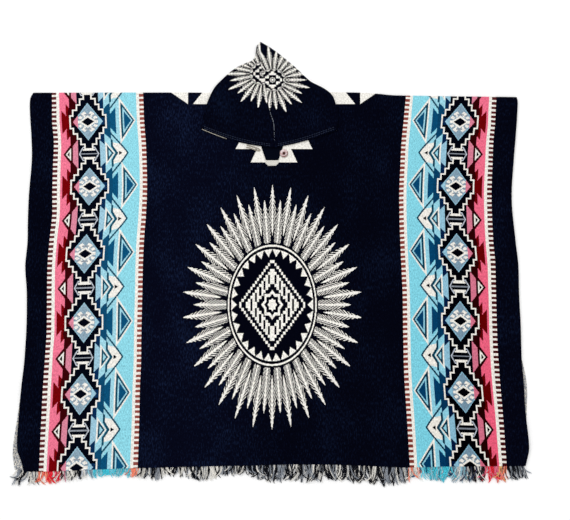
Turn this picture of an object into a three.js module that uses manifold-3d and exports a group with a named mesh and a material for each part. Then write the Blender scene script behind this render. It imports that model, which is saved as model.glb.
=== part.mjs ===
import * as THREE from 'three';
import { mergeVertices } from 'three/addons/utils/BufferGeometryUtils.js';
import Module from 'manifold-3d';

// A hooded blanket poncho, laid flat with its front up. Millimetres, +Z up from the surface it
// lies on. In the tables, x runs across from the hood's centre seam, and "down" runs from the
// shoulder fold towards the hem. "left" and "right" are distances from the centre, both positive.

// Cloth and clearances
const CLOTH = 2; // thickness of the blanket cloth
const CLEAR = 0.3; // space between pieces that meet
const HALF = CLOTH / 2;
const FRONT_MID = CLOTH + CLEAR + HALF; // middle of the front cloth where it lies on the back
const FRONT_TOP = FRONT_MID + HALF;

// Shoulder fold
const FOLD_RADIUS = 2.4; // middle of the cloth, at the free shoulders
const PRESSED_RADIUS = (FRONT_MID - HALF) / 2; // under the hood, where the fold is pressed flat
const PRESSED_TO = 175; // half width of the pressed part
const FREE_FROM = 240;
const FOLD_SETTLE = 14; // length over which the front sinks from the fold onto the back
const LIP = 10; // how far the front reaches in under the fold

// Neck hole and slit
const NECK_HALF = 100; // half width of the neck hole at the fold
const NECK_DEPTH = 95; // how far the hole comes down the front
const TONGUE_HALF = NECK_HALF - 1.2; // half width of the back cloth in the hole
const SLIT_FOOT = 173.6;
const SLIT_TOP = { left: -31, right: 15 };
const SLIT_END = { left: -21.4, right: 13.6 };
const SLIT_CORNER = 4;

// Hood
const HOOD_END = 130; // the point's distance beyond the fold
const UNDER_DROP = { from: 8, to: 32 }; // where the lower layer comes down beyond the fold
const UNDER_STEP = { from: 58, to: 88 }; // and where it steps up beside the neck hole
const BACK_NECK = 2 * CLEAR; // the lower layer starts this far beyond the fold
const HEM_SHARE = 0.045; // share of a half's sections that cross the turned hem, 9 mm wide
const HEM_EXTRA = 0.7; // thickness that the turning adds
const UPPER_STEPS = 9; // steps of a section across the upper layer
const NECK_SEAM_SHARE = 0.34; // share of a hood half's sections that end at the neck hole
const BACK_NECK_SHARE = 0.6; // and at the back neckline

// Fringe
const STRIP = 6; // width of the woven edge that holds the strands
const STRANDS = 120; // for each hem
const BACK_SHORTER = 4; // the back hem lies this far inside the front one

// Fastening
const BUTTON = { x: 25, down: 155.5, radius: 10, thick: 3.4, hole: 1.2, spread: 2.7 };
const TAB = { x: -4.3, down: 180.6, width: 34, height: 11.5, thick: 1.2, corner: 4.5 };
const LOOP_RADIUS = 1.2;

// The line of the shoulder fold, which dips to the right, and the line of the hem
const FOLD_LINE = [
  { x: -600, down: 0 },
  { x: -250, down: -1 },
  { x: 120, down: 0 },
  { x: 330, down: 8 },
  { x: 600, down: 12 },
];
const HEM_LINE = [
  { x: -600, down: 915 },
  { x: -505, down: 914 },
  { x: -421, down: 910 },
  { x: -334, down: 907 },
  { x: -59, down: 901 },
  { x: 98, down: 898 },
  { x: 312, down: 905 },
  { x: 413, down: 903 },
  { x: 600, down: 902 },
];

// Side edges of the front cloth, and of the back cloth where it shows past the front
const FRONT_EDGES = [
  { down: 0, left: 594, right: 590 },
  { down: 15, left: 602, right: 601 },
  { down: 40, left: 603, right: 602 },
  { down: 110, left: 596, right: 595 },
  { down: 170, left: 593, right: 588 },
  { down: 268, left: 597, right: 579 },
  { down: 372, left: 597, right: 584 },
  { down: 434, left: 599, right: 589 },
  { down: 492, left: 591, right: 588 },
  { down: 577, left: 588, right: 589 },
  { down: 656, left: 590, right: 588 },
  { down: 717, left: 594, right: 591 },
  { down: 778, left: 597, right: 592 },
  { down: 862, left: 597, right: 597 },
  { down: 891, left: 587, right: 591 },
  { down: 915, left: 581, right: 584 },
];
const BACK_EDGES = [
  { down: 10, left: 592, right: 588 },
  { down: 110, left: 592, right: 591 },
  { down: 268, left: 592, right: 575 },
  { down: 434, left: 594, right: 584 },
  { down: 577, left: 584, right: 584 },
  { down: 642, left: 586, right: 587 },
  { down: 681, left: 590, right: 595 },
  { down: 721, left: 595, right: 599 },
  { down: 785, left: 601, right: 596 },
  { down: 830, left: 606, right: 592 },
  { down: 873, left: 609, right: 589 },
  { down: 915, left: 602, right: 583 },
];

// The largest soft ridges in the front cloth: from one end to the other, spread and height
const RIDGES = [
  { x: -560, down: 70, toX: -572, toDown: 330, spread: 26, rise: 4.5 },
  { x: -572, down: 440, toX: -560, toDown: 620, spread: 24, rise: 3.5 },
  { x: -585, down: 860, toX: -520, toDown: 640, spread: 26, rise: 5.5 },
  { x: -455, down: 905, toX: -430, toDown: 740, spread: 30, rise: 3.5 },
  { x: -330, down: 250, toX: -395, toDown: 520, spread: 34, rise: 3 },
  { x: -280, down: 905, toX: -300, toDown: 700, spread: 36, rise: 3 },
  { x: -60, down: 905, toX: -40, toDown: 790, spread: 30, rise: 2.5 },
  { x: 90, down: 905, toX: 120, toDown: 720, spread: 34, rise: 3.5 },
  { x: 300, down: 905, toX: 285, toDown: 640, spread: 34, rise: 3.5 },
  { x: 330, down: 120, toX: 300, toDown: 430, spread: 30, rise: 4.5 },
  { x: 455, down: 905, toX: 440, toDown: 730, spread: 28, rise: 3 },
  { x: 520, down: 90, toX: 548, toDown: 420, spread: 28, rise: 5.5 },
  { x: 560, down: 480, toX: 545, toDown: 660, spread: 26, rise: 3.5 },
  { x: 585, down: 850, toX: 550, toDown: 680, spread: 26, rise: 4.5 },
];
const RIDGE_FREE_FROM = 230; // ridges start this far below the fold under the hood

// Rim of the hood from its lower corner to its point: "share" runs along the rim
const LEFT_RIM = [
  { share: 0, x: -179, y: -94 },
  { share: 0.12, x: -174, y: -64 },
  { share: 0.25, x: -166, y: -31 },
  { share: 0.38, x: -149, y: 8 },
  { share: 0.5, x: -129, y: 33 },
  { share: 0.62, x: -99, y: 60 },
  { share: 0.72, x: -74, y: 74 },
  { share: 0.8, x: -52, y: 84 },
  { share: 0.88, x: -45, y: 104 },
  { share: 0.95, x: -42, y: 121 },
  { share: 1, x: -33, y: HOOD_END },
];
const RIGHT_RIM = [
  { share: 0, x: 155.5, y: -97 },
  { share: 0.12, x: 160, y: -60 },
  { share: 0.25, x: 153, y: -31 },
  { share: 0.36, x: 144, y: -8 },
  { share: 0.46, x: 124, y: 9 },
  { share: 0.57, x: 91, y: 28 },
  { share: 0.69, x: 56, y: 62 },
  { share: 0.78, x: 31, y: 84 },
  { share: 0.86, x: 9, y: 102 },
  { share: 0.93, x: -9, y: 115 },
  { share: 1, x: -33, y: HOOD_END },
];
// The centre seam on the upper layer, from the middle of the hem to the point
const CENTRE_SEAM = [
  { share: 0, x: 1, y: -141 },
  { share: 0.25, x: 0, y: -84 },
  { share: 0.45, x: -11, y: -45 },
  { share: 0.7, x: -23, y: 20 },
  { share: 0.83, x: -31.5, y: 68 },
  { share: 0.9, x: -33, y: 90 },
  { share: 0.96, x: -33, y: 104 },
  { share: 1, x: -33, y: 112 },
];
// Height of the middle of the hood's upper layer, from its hem to its point
const HOOD_HEIGHT = [
  { y: -146, z: 5.9 },
  { y: -126, z: 6.4 },
  { y: -104, z: 8.1 },
  { y: 10, z: 8.3 },
  { y: 34, z: 6.9 },
  { y: 85, z: 6.6 },
  { y: 115, z: 8.4 },
  { y: HOOD_END, z: 8.4 },
];
// Sections of a hood half, closer at the hem and at the point
const HOOD_SECTIONS = [
  0, HEM_SHARE, 0.06, 0.12, 0.18, 0.25, NECK_SEAM_SHARE, 0.39, 0.45, 0.52, BACK_NECK_SHARE,
  0.68, 0.75, 0.81, 0.86, 0.91, 0.96, 1,
];

const NAVY = 0x070a1a;
const CREAM = 0xe9e2d2;
const YARN = 0x6f7583;
const SHELL_PINK = 0xc9a59a;

const wasm = await Module();
wasm.setup();

// Smooth value of a table's column at a place between its rows
function readTable(rows, key, column, at) {
  const last = rows.length - 1;
  const place = THREE.MathUtils.clamp(at, rows[0][key], rows[last][key]);
  let i = 0;
  while (i < last - 1 && place > rows[i + 1][key]) i += 1;
  const slope = (k) => {
    const before = rows[Math.max(k - 1, 0)];
    const after = rows[Math.min(k + 1, last)];
    return (after[column] - before[column]) / (after[key] - before[key]);
  };
  const span = rows[i + 1][key] - rows[i][key];
  const f = (place - rows[i][key]) / span;
  const ease = f * f * (3 - 2 * f);
  const bend = slope(i) * f * (1 - f) * (1 - f) - slope(i + 1) * f * f * (1 - f);
  return THREE.MathUtils.lerp(rows[i][column], rows[i + 1][column], ease) + span * bend;
}

const smooth = (value, from, to) => THREE.MathUtils.smoothstep(value, from, to);
const foldY = (x) => -readTable(FOLD_LINE, 'x', 'down', x);
const hemY = (x) => -readTable(HEM_LINE, 'x', 'down', x);
const backHemY = (x) => hemY(x) + BACK_SHORTER;

// A fixed uneven value from -1 to 1 for the strand of this number
const uneven = (number, salt) => Math.sin(number * 12.99 + salt * 78.2) * Math.cos(number * 4.71);

// Height that the ridges add to the front cloth at a place
function ridgeRise(x, down) {
  let rise = 0;
  for (const ridge of RIDGES) {
    const run = new THREE.Vector2(ridge.toX - ridge.x, ridge.toDown - ridge.down);
    const reach = new THREE.Vector2(x - ridge.x, down - ridge.down);
    const share = THREE.MathUtils.clamp(reach.dot(run) / run.lengthSq(), 0, 1);
    const away = reach.addScaledVector(run, -share).length() / ridge.spread;
    rise += ridge.rise * Math.exp(-away * away);
  }
  const nearNeck = 1 - smooth(Math.abs(x), RIDGE_FREE_FROM - 40, RIDGE_FREE_FROM + 20);
  const atTop = 1 - smooth(down, RIDGE_FREE_FROM - 30, RIDGE_FREE_FROM + 60);
  return rise * (1 - nearNeck * atTop) * smooth(down, 8, 90);
}

function meshGeometry(points, faces) {
  const geometry = new THREE.BufferGeometry();
  geometry.setAttribute('position', new THREE.Float32BufferAttribute(points, 3));
  geometry.setIndex(faces);
  return geometry;
}

// A closed cloth wall on both sides of a net of middle points, with its faces turned outwards
function clothWall(net, normalAt, outerAt = () => HALF) {
  const rows = net.length;
  const columns = net[0].length;
  const points = [];
  for (const side of [1, -1]) {
    net.forEach((row, i) => row.forEach((middle, j) => {
      const offset = side > 0 ? outerAt(i, j) : -HALF;
      points.push(...middle.clone().addScaledVector(normalAt(i, j), offset).toArray());
    }));
  }
  const inner = rows * columns;
  const at = (i, j) => i * columns + j;
  const faces = [];
  const quad = (a, b, c, d) => faces.push(a, b, c, a, c, d);
  for (let i = 0; i < rows - 1; i += 1) {
    for (let j = 0; j < columns - 1; j += 1) {
      quad(at(i, j), at(i + 1, j), at(i + 1, j + 1), at(i, j + 1));
      quad(inner + at(i, j), inner + at(i, j + 1), inner + at(i + 1, j + 1), inner + at(i + 1, j));
    }
    quad(at(i, 0), inner + at(i, 0), inner + at(i + 1, 0), at(i + 1, 0));
    const end = columns - 1;
    quad(at(i, end), at(i + 1, end), inner + at(i + 1, end), inner + at(i, end));
  }
  for (let j = 0; j < columns - 1; j += 1) {
    quad(at(0, j), at(0, j + 1), inner + at(0, j + 1), inner + at(0, j));
    const end = rows - 1;
    quad(at(end, j), inner + at(end, j), inner + at(end, j + 1), at(end, j + 1));
  }
  return meshGeometry(points, faces);
}

// Direction square to a net at one of its points
function netNormal(net, i, j) {
  const row = net[i];
  const across = row[Math.min(j + 1, row.length - 1)].clone().sub(row[Math.max(j - 1, 0)]);
  const along = net[Math.min(i + 1, net.length - 1)][j].clone().sub(net[Math.max(i - 1, 0)][j]);
  return along.cross(across).normalize();
}

function turnOutwards(geometry) {
  const position = geometry.getAttribute('position');
  const index = geometry.getIndex().array;
  const [a, b, c] = [new THREE.Vector3(), new THREE.Vector3(), new THREE.Vector3()];
  let volume = 0;
  for (let i = 0; i < index.length; i += 3) {
    [a, b, c].forEach((corner, k) => corner.fromBufferAttribute(position, index[i + k]));
    volume += a.dot(b.cross(c));
  }
  if (volume < 0) {
    geometry.setIndex(Array.from(index).reverse());
  }
  return geometry;
}

function toSolid(geometry) {
  const bare = geometry.clone();
  bare.deleteAttribute('normal');
  bare.deleteAttribute('uv');
  const merged = mergeVertices(bare, 1e-4);
  return new wasm.Manifold(new wasm.Mesh({
    numProp: 3,
    vertProperties: Float32Array.from(merged.getAttribute('position').array),
    triVerts: Uint32Array.from(merged.getIndex().array),
  }));
}

function toGeometry(solid) {
  const mesh = solid.getMesh();
  return meshGeometry(Array.from(mesh.vertProperties), Array.from(mesh.triVerts));
}

function piece(name, geometry, color, roughness = 0.95) {
  geometry.computeVertexNormals();
  const mesh = new THREE.Mesh(geometry, new THREE.MeshStandardMaterial({ color, roughness }));
  mesh.name = name;
  return mesh;
}

// Middle radius of the shoulder fold: pressed flat under the hood, rounder at the shoulders
function foldRadius(x) {
  const free = smooth(Math.abs(x), PRESSED_TO, FREE_FROM);
  return THREE.MathUtils.lerp(PRESSED_RADIUS, FOLD_RADIUS, free);
}

// Front cloth: from its lip under the shoulder, round the fold and down to the hem
function frontNet() {
  const columns = 42;
  const bendAngles = [-90, -54, -18, 18, 54, 90];
  const belowFold = [7, 14, 26, 45];
  const bodyRows = 15;
  const rows = [];
  const addRow = (place) => {
    const row = [];
    for (let j = 0; j <= columns; j += 1) {
      const share = j / columns;
      const point = new THREE.Vector3((share - 0.5) * 1200, 0, 0);
      for (let pass = 0; pass < 3; pass += 1) {
        const { y, z } = place(point.x, foldY(point.x), foldRadius(point.x));
        const left = readTable(FRONT_EDGES, 'down', 'left', -y);
        const right = readTable(FRONT_EDGES, 'down', 'right', -y);
        point.set(-left + share * (left + right), y, z);
      }
      row.push(point);
    }
    rows.push(row);
  };
  const upper = (x, y, fold, radius) => {
    const above = 2 * radius + HALF - FRONT_MID;
    const sink = Math.exp(-Math.pow((fold - radius - HALF - y) / FOLD_SETTLE, 2) / 2);
    return FRONT_MID + above * sink + ridgeRise(x, -y);
  };
  addRow((x, fold) => ({ y: fold - LIP, z: HALF }));
  for (const angle of bendAngles) {
    const turn = THREE.MathUtils.degToRad(angle);
    addRow((x, fold, radius) => ({
      y: fold - radius - HALF + radius * Math.cos(turn),
      z: HALF + radius + radius * Math.sin(turn),
    }));
  }
  for (const down of belowFold) {
    addRow((x, fold, radius) => ({ y: fold - down, z: upper(x, fold - down, fold, radius) }));
  }
  const start = belowFold[belowFold.length - 1];
  for (let i = 1; i <= bodyRows; i += 1) {
    addRow((x, fold, radius) => {
      const y = THREE.MathUtils.lerp(fold - start, hemY(x), i / bodyRows);
      return { y, z: upper(x, y, fold, radius) };
    });
  }
  return rows;
}

// Outline of the neck hole and its slit, as the scissors cut them from the front
function neckOutline() {
  const shape = new THREE.Shape();
  const mouth = NECK_DEPTH - 3;
  shape.moveTo(NECK_HALF, 20);
  shape.lineTo(-NECK_HALF, 20);
  shape.lineTo(-NECK_HALF, 0);
  const steps = 14;
  const side = (from, to, sign) => {
    for (let i = from; i !== to; i += Math.sign(to - from)) {
      const turn = (i / steps) * (Math.PI / 2);
      const y = -NECK_DEPTH * Math.sin(turn);
      if (-y < mouth) shape.lineTo(sign * NECK_HALF * Math.cos(turn), y);
    }
  };
  side(1, steps, -1);
  shape.lineTo(SLIT_TOP.left, -mouth);
  shape.lineTo(SLIT_TOP.left, -SLIT_FOOT + 32);
  shape.lineTo(SLIT_END.left, -SLIT_FOOT + SLIT_CORNER);
  shape.quadraticCurveTo(SLIT_END.left, -SLIT_FOOT, SLIT_END.left + SLIT_CORNER, -SLIT_FOOT);
  shape.lineTo(SLIT_END.right - SLIT_CORNER, -SLIT_FOOT);
  shape.quadraticCurveTo(SLIT_END.right, -SLIT_FOOT, SLIT_END.right, -SLIT_FOOT + SLIT_CORNER);
  shape.lineTo(SLIT_TOP.right, -SLIT_FOOT + 32);
  shape.lineTo(SLIT_TOP.right, -mouth);
  side(steps - 1, 0, 1);
  shape.lineTo(NECK_HALF, 0);
  return shape;
}

function slab(shape, bottom, thick, curveSegments = 3) {
  const settings = { depth: thick, bevelEnabled: false, curveSegments };
  return new THREE.ExtrudeGeometry(shape, settings).translate(0, 0, bottom);
}

function frontPanel() {
  const net = frontNet();
  const wall = turnOutwards(clothWall(net, (i, j) => netNormal(net, i, j)));
  const cut = toSolid(wall).subtract(toSolid(slab(neckOutline(), -10, 50)));
  return piece('front_panel', toGeometry(cut), NAVY);
}

// Back cloth: one flat layer on the floor, whose tongue fills the back of the neck hole
function backPanel() {
  const steps = 36;
  const points = [];
  const edge = (column, share) => {
    const sign = column === 'left' ? -1 : 1;
    const top = foldY(sign * 590) - LIP - 2 * CLEAR;
    const y = THREE.MathUtils.lerp(top, backHemY(sign * 590), share);
    return new THREE.Vector2(sign * readTable(BACK_EDGES, 'down', column, -y), y);
  };
  for (let i = 0; i <= steps; i += 1) points.push(edge('left', i / steps));
  for (let x = -560; x <= 560; x += 40) points.push(new THREE.Vector2(x, backHemY(x)));
  for (let i = steps; i >= 0; i -= 1) points.push(edge('right', i / steps));
  const top = (x) => points.push(new THREE.Vector2(x, foldY(x) - LIP - 2 * CLEAR));
  for (let x = 560; x > TONGUE_HALF; x -= 40) top(x);
  top(TONGUE_HALF);
  points.push(new THREE.Vector2(TONGUE_HALF, -BACK_NECK));
  points.push(new THREE.Vector2(-TONGUE_HALF, -BACK_NECK));
  top(-TONGUE_HALF);
  for (let x = -120; x >= -560; x -= 40) top(x);
  return piece('back_panel', slab(new THREE.Shape(points), 0, CLOTH), NAVY);
}

// Where the lower layer of a hood half ends: at the neck hole, the back neckline or the seam
function underEnd(sign, share) {
  const half = NECK_HALF + 2;
  if (share <= NECK_SEAM_SHARE) {
    const turn = THREE.MathUtils.degToRad(70) * (1 - share / NECK_SEAM_SHARE);
    return { x: sign * half * Math.cos(turn), y: BACK_NECK - (NECK_DEPTH + 2) * Math.sin(turn) };
  }
  if (share <= BACK_NECK_SHARE) {
    const along = (share - NECK_SEAM_SHARE) / (BACK_NECK_SHARE - NECK_SEAM_SHARE);
    return { x: sign * THREE.MathUtils.lerp(half, 0, along), y: BACK_NECK };
  }
  const up = (share - BACK_NECK_SHARE) / (1 - BACK_NECK_SHARE);
  const top = CENTRE_SEAM[CENTRE_SEAM.length - 1];
  return { x: top.x * smooth(up, 0, 0.7), y: THREE.MathUtils.lerp(BACK_NECK, top.y, up) };
}

// Middle of the hood's lower layer: on the front cloth below the fold, on the floor beyond it
function underHeight(x, y) {
  const lifted = FRONT_TOP + CLEAR;
  const past = 1 - smooth(y, UNDER_DROP.from, UNDER_DROP.to);
  const beside = y < 0 ? 1 : smooth(Math.abs(x), UNDER_STEP.from, UNDER_STEP.to);
  return HALF + lifted * past * beside;
}

function hoodNet(sign) {
  const rim = sign < 0 ? LEFT_RIM : RIGHT_RIM;
  const hemBow = sign < 0 ? 9 : 5;
  const underSteps = 6;
  const bend = [54, 18, -18, -54];
  const seamX = (x) => x + sign * (CLEAR / 2);
  return HOOD_SECTIONS.map((share) => {
    const edge = { x: readTable(rim, 'share', 'x', share), y: readTable(rim, 'share', 'y', share) };
    const seam = {
      x: readTable(CENTRE_SEAM, 'share', 'x', share),
      y: readTable(CENTRE_SEAM, 'share', 'y', share),
    };
    const end = underEnd(sign, share);
    const inwards = new THREE.Vector2(seam.x + end.x, seam.y + end.y).multiplyScalar(0.5);
    inwards.sub(new THREE.Vector2(edge.x, edge.y)).normalize();
    if (share === 1) inwards.set(0, -1);
    const low = underHeight(edge.x, edge.y);
    const high = readTable(HOOD_HEIGHT, 'y', 'z', edge.y);
    const radius = (high - low) / 2;
    const centre = new THREE.Vector2(edge.x, edge.y).addScaledVector(inwards, radius + HALF);
    const section = [];
    for (let k = 0; k <= UPPER_STEPS; k += 1) {
      const f = k / UPPER_STEPS;
      const x = THREE.MathUtils.lerp(seam.x, centre.x, f);
      const bow = hemBow * Math.sin(Math.PI * f) * Math.pow(1 - share, 6);
      const y = THREE.MathUtils.lerp(seam.y, centre.y, f) - bow;
      const open = readTable(HOOD_HEIGHT, 'y', 'z', y);
      section.push(new THREE.Vector3(x, y, THREE.MathUtils.lerp(open, high, Math.pow(f, 4))));
    }
    for (const angle of bend) {
      const turn = THREE.MathUtils.degToRad(angle);
      const out = -radius * Math.cos(turn);
      const z = low + radius + radius * Math.sin(turn);
      section.push(new THREE.Vector3(centre.x + out * inwards.x, centre.y + out * inwards.y, z));
    }
    for (let k = 0; k <= underSteps; k += 1) {
      const f = k / underSteps;
      const x = THREE.MathUtils.lerp(centre.x, end.x, f);
      const y = THREE.MathUtils.lerp(centre.y, end.y, f);
      section.push(new THREE.Vector3(x, y, THREE.MathUtils.lerp(low, underHeight(x, y), f ** 0.3)));
    }
    section[0].x = seamX(section[0].x);
    if (share >= BACK_NECK_SHARE) section[section.length - 1].x = seamX(end.x);
    if (share === 1) section.forEach((point) => { point.x = seamX(seam.x); });
    return section;
  });
}

// One half of the hood: upper layer, side fold and lower layer in one cloth
function hoodHalf(name, sign) {
  const net = hoodNet(sign);
  const lastRow = net.length - 1;
  const lastColumn = net[0].length - 1;
  const outward = (i, j) => {
    const normal = netNormal(net, i, j).multiplyScalar(-sign);
    if (j === 0) return normal.set(0, 0, 1);
    if (j === lastColumn) return normal.set(0, 0, -1);
    if (i === lastRow) return normal.setX(0).normalize();
    return normal;
  };
  const outer = (i, j) => HALF + (HOOD_SECTIONS[i] <= HEM_SHARE && j <= UPPER_STEPS ? HEM_EXTRA : 0);
  return piece(name, turnOutwards(clothWall(net, outward, outer)), NAVY);
}

// One strand of yarn with three sides, tapering from its root to its tip
function strand(stations, heading) {
  const aside = new THREE.Vector2(Math.cos(heading), Math.sin(heading));
  const points = [];
  const faces = [];
  stations.forEach(({ x, y, z, radius }) => {
    for (const angle of [90, 210, 330]) {
      const turn = THREE.MathUtils.degToRad(angle);
      const across = radius * Math.cos(turn);
      points.push(x + across * aside.x, y + across * aside.y, z + radius * Math.sin(turn));
    }
  });
  for (let i = 0; i < stations.length - 1; i += 1) {
    for (let k = 0; k < 3; k += 1) {
      const a = i * 3 + k;
      const b = i * 3 + ((k + 1) % 3);
      faces.push(a, b, a + 3, b, b + 3, a + 3);
    }
  }
  const tip = (stations.length - 1) * 3;
  faces.push(0, 2, 1, tip, tip + 1, tip + 2);
  return turnOutwards(meshGeometry(points, faces));
}

// The loose warp ends of one hem on their woven strip
function fringe(name, { edge, middle, left, right, rootRadius, shape }) {
  const net = [2 * CLEAR, STRIP].map((down) => {
    const row = [];
    for (let j = 0; j <= 36; j += 1) {
      const x = THREE.MathUtils.lerp(-left, right, j / 36);
      row.push(new THREE.Vector3(x, edge(x) - down, middle(x)));
    }
    return row;
  });
  let solid = toSolid(turnOutwards(clothWall(net, () => new THREE.Vector3(0, 0, 1))));
  const inset = 3;
  for (let n = 0; n < STRANDS; n += 1) {
    const x = THREE.MathUtils.lerp(-left + inset, right - inset, (n + shape.stagger) / STRANDS);
    const splay = 0.5 * Math.pow(Math.max(Math.abs(x) - 530, 0) / 70, 2) * Math.sign(x);
    const heading = splay + 0.1 * Math.sin(n * 0.55 + shape.salt) + 0.05 * uneven(n, shape.salt);
    const length = shape.length + shape.vary * uneven(n, shape.salt + 3);
    const root = { x, y: edge(x) - STRIP / 2 };
    const stations = shape.profile(middle(x), rootRadius).map(({ reach, z, radius }) => ({
      x: root.x + Math.sin(heading) * reach * length,
      y: root.y - Math.cos(heading) * reach * length,
      z,
      radius,
    }));
    solid = solid.add(toSolid(strand(stations, heading)));
  }
  return piece(name, toGeometry(solid), YARN);
}

// The front strands pass over the back ones and droop to just above the floor past their tips
function frontFringe() {
  return fringe('front_fringe', {
    edge: hemY,
    middle: (x) => FRONT_MID + ridgeRise(x, -hemY(x)),
    left: 580,
    right: 583,
    rootRadius: 1.5,
    shape: {
      length: 33,
      vary: 3.5,
      stagger: 0.5,
      salt: 1,
      profile: (z, radius) => [
        { reach: 0, z, radius },
        { reach: 0.8, z: 3.7, radius },
        { reach: 1, z: 1.5, radius: radius * 0.6 },
      ],
    },
  });
}

function backFringe() {
  return fringe('back_fringe', {
    edge: backHemY,
    middle: () => HALF,
    left: 596,
    right: 580,
    rootRadius: 1.15,
    shape: {
      length: 24,
      vary: 1.5,
      stagger: 0,
      salt: 2,
      profile: (z, radius) => [
        { reach: 0, z, radius },
        { reach: 1, z: 0.9, radius: radius * 0.7 },
      ],
    },
  });
}

function button() {
  const { x, down, radius, thick, hole, spread } = BUTTON;
  const rim = [
    [0, 0], [radius - 1.2, 0], [radius, 1.1], [radius, thick - 1], [radius - 1, thick],
    [radius - 2.6, thick - 0.2], [radius - 3.6, thick - 1.1], [0, thick - 1.2],
  ].map(([across, up]) => new THREE.Vector2(across, up));
  let disc = toSolid(new THREE.LatheGeometry(rim, 24).rotateX(Math.PI / 2));
  for (let k = 0; k < 4; k += 1) {
    const turn = Math.PI / 4 + (k * Math.PI) / 2;
    const bore = new THREE.CylinderGeometry(hole, hole, 4 * thick, 8).rotateX(Math.PI / 2);
    bore.translate(spread * Math.cos(turn), spread * Math.sin(turn), 0);
    disc = disc.subtract(toSolid(bore));
  }
  const geometry = toGeometry(disc).translate(x, -down, FRONT_TOP + CLEAR);
  return piece('button', geometry, SHELL_PINK, 0.35);
}

// A doubled cord that comes from under the hood's hem and turns at the edge of the slit
function buttonLoop() {
  const z = FRONT_TOP + CLEAR + LOOP_RADIUS;
  const route = [
    [-66, -134.6], [-52, -138.6], [-41, -142.2], [-35.6, -144.8], [-34.4, -147.6],
    [-37, -149.2], [-43, -147.6], [-54, -143.6], [-67, -140],
  ].map(([x, y]) => new THREE.Vector3(x, y, z));
  const path = new THREE.CatmullRomCurve3(route);
  const section = new THREE.Shape();
  section.absarc(0, 0, LOOP_RADIUS, 0, Math.PI * 2);
  const settings = { steps: 26, extrudePath: path, curveSegments: 4, bevelEnabled: false };
  return piece('button_loop', new THREE.ExtrudeGeometry(section, settings), CREAM);
}

function slitTab() {
  const { x, down, width, height, thick, corner } = TAB;
  const [w, h] = [width / 2, height / 2];
  const shape = new THREE.Shape();
  shape.moveTo(-w, h);
  shape.lineTo(-w + corner * 0.6, -h + corner);
  shape.quadraticCurveTo(-w + corner * 0.8, -h, -w + corner * 2, -h);
  shape.lineTo(w - corner * 2, -h);
  shape.quadraticCurveTo(w - corner * 0.8, -h, w - corner * 0.6, -h + corner);
  shape.lineTo(w, h);
  const geometry = slab(shape, FRONT_TOP + CLEAR, thick).translate(x, -down, 0);
  return piece('slit_tab', geometry, CREAM);
}

const poncho = new THREE.Group();
poncho.add(
  backPanel(),
  frontPanel(),
  hoodHalf('hood_left', -1),
  hoodHalf('hood_right', 1),
  backFringe(),
  frontFringe(),
  button(),
  buttonLoop(),
  slitTab(),
);

// The origin is on the floor, under the middle of the whole poncho
const reach = new THREE.Box3().setFromObject(poncho);
const centre = reach.getCenter(new THREE.Vector3());
poncho.position.set(-centre.x, -centre.y, -reach.min.z);

export default poncho;
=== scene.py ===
import math
import random

import bpy
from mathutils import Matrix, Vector, noise


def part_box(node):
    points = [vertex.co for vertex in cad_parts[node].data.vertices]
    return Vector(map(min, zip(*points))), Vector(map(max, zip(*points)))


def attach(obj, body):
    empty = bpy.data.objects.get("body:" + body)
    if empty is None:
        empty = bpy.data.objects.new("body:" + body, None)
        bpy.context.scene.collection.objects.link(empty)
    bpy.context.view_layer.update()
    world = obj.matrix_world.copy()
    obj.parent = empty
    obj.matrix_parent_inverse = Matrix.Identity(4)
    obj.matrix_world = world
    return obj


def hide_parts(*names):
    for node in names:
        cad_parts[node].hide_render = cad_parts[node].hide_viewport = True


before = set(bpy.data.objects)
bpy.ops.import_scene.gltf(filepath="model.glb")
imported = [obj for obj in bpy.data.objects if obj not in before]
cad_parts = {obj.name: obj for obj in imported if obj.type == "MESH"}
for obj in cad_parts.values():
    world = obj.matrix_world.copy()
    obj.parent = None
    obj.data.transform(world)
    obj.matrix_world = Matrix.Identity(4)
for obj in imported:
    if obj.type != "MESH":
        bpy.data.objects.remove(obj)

bl_info = {
    "name": "Hooded blanket poncho",
    "version": (1, 0, 0),
    "blender": (4, 5, 0),
    "location": "View3D > Sidebar > Poncho",
    "description": "Builds a hooded blanket poncho, laid flat, piece by piece",
    "category": "Add Mesh",
}

# Garment coordinates are in millimetres. x runs across from the hood's centre seam, y runs up from the
# shoulder fold, z is the height above the floor, and "down" is -y. In a row of a table of edges, "left"
# and "right" are distances from the centre, both positive.
MM = 0.001

# Cloth and clearances, the same as in the solids
CLOTH = 2.0
CLEAR = 0.3
HALF = CLOTH / 2
FRONT_MID = CLOTH + CLEAR + HALF
FRONT_TOP = FRONT_MID + HALF

# The body cloth: from its middle to a side edge as woven, and from the fold to its hems
SIDE = 600
FRONT_LENGTH = 910
BACK_LENGTH = 900

# Shoulder fold
FOLD_RADIUS = 2.4
PRESSED_RADIUS = (FRONT_MID - HALF) / 2
PRESSED_TO = 175
FREE_FROM = 240
FOLD_SETTLE = 14
LIP = 10

# Neck hole and slit
NECK_HALF = 100
NECK_DEPTH = 95
TONGUE_HALF = NECK_HALF - 1.2
BACK_NECK = 2 * CLEAR
SLIT_FOOT = 173.6
SLIT_TOP = (-31, 23)  # opened wider at the right than in the solids, as it lies
SLIT_END = (-21.4, 13.6)
SLIT_CORNER = 4
SLIT_SPREAD = 32  # how far above its foot the slit is opened to its width at the top
SLIT_HIDDEN = 112  # how far down the edging starts, under the hood
CUT_SPOT = (0, -60)  # a place of plain ground, whose look the cut edge takes

# Hood
HOOD_END = 130
UNDER_DROP = (8, 32)
UNDER_STEP = (58, 88)
HEM_SHARE = 0.045
HEM_EXTRA = 0.7
NECK_SEAM_SHARE = 0.34
BACK_NECK_SHARE = 0.6
HEM_TURN = 0.012  # share over which the turned hem ends
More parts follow.
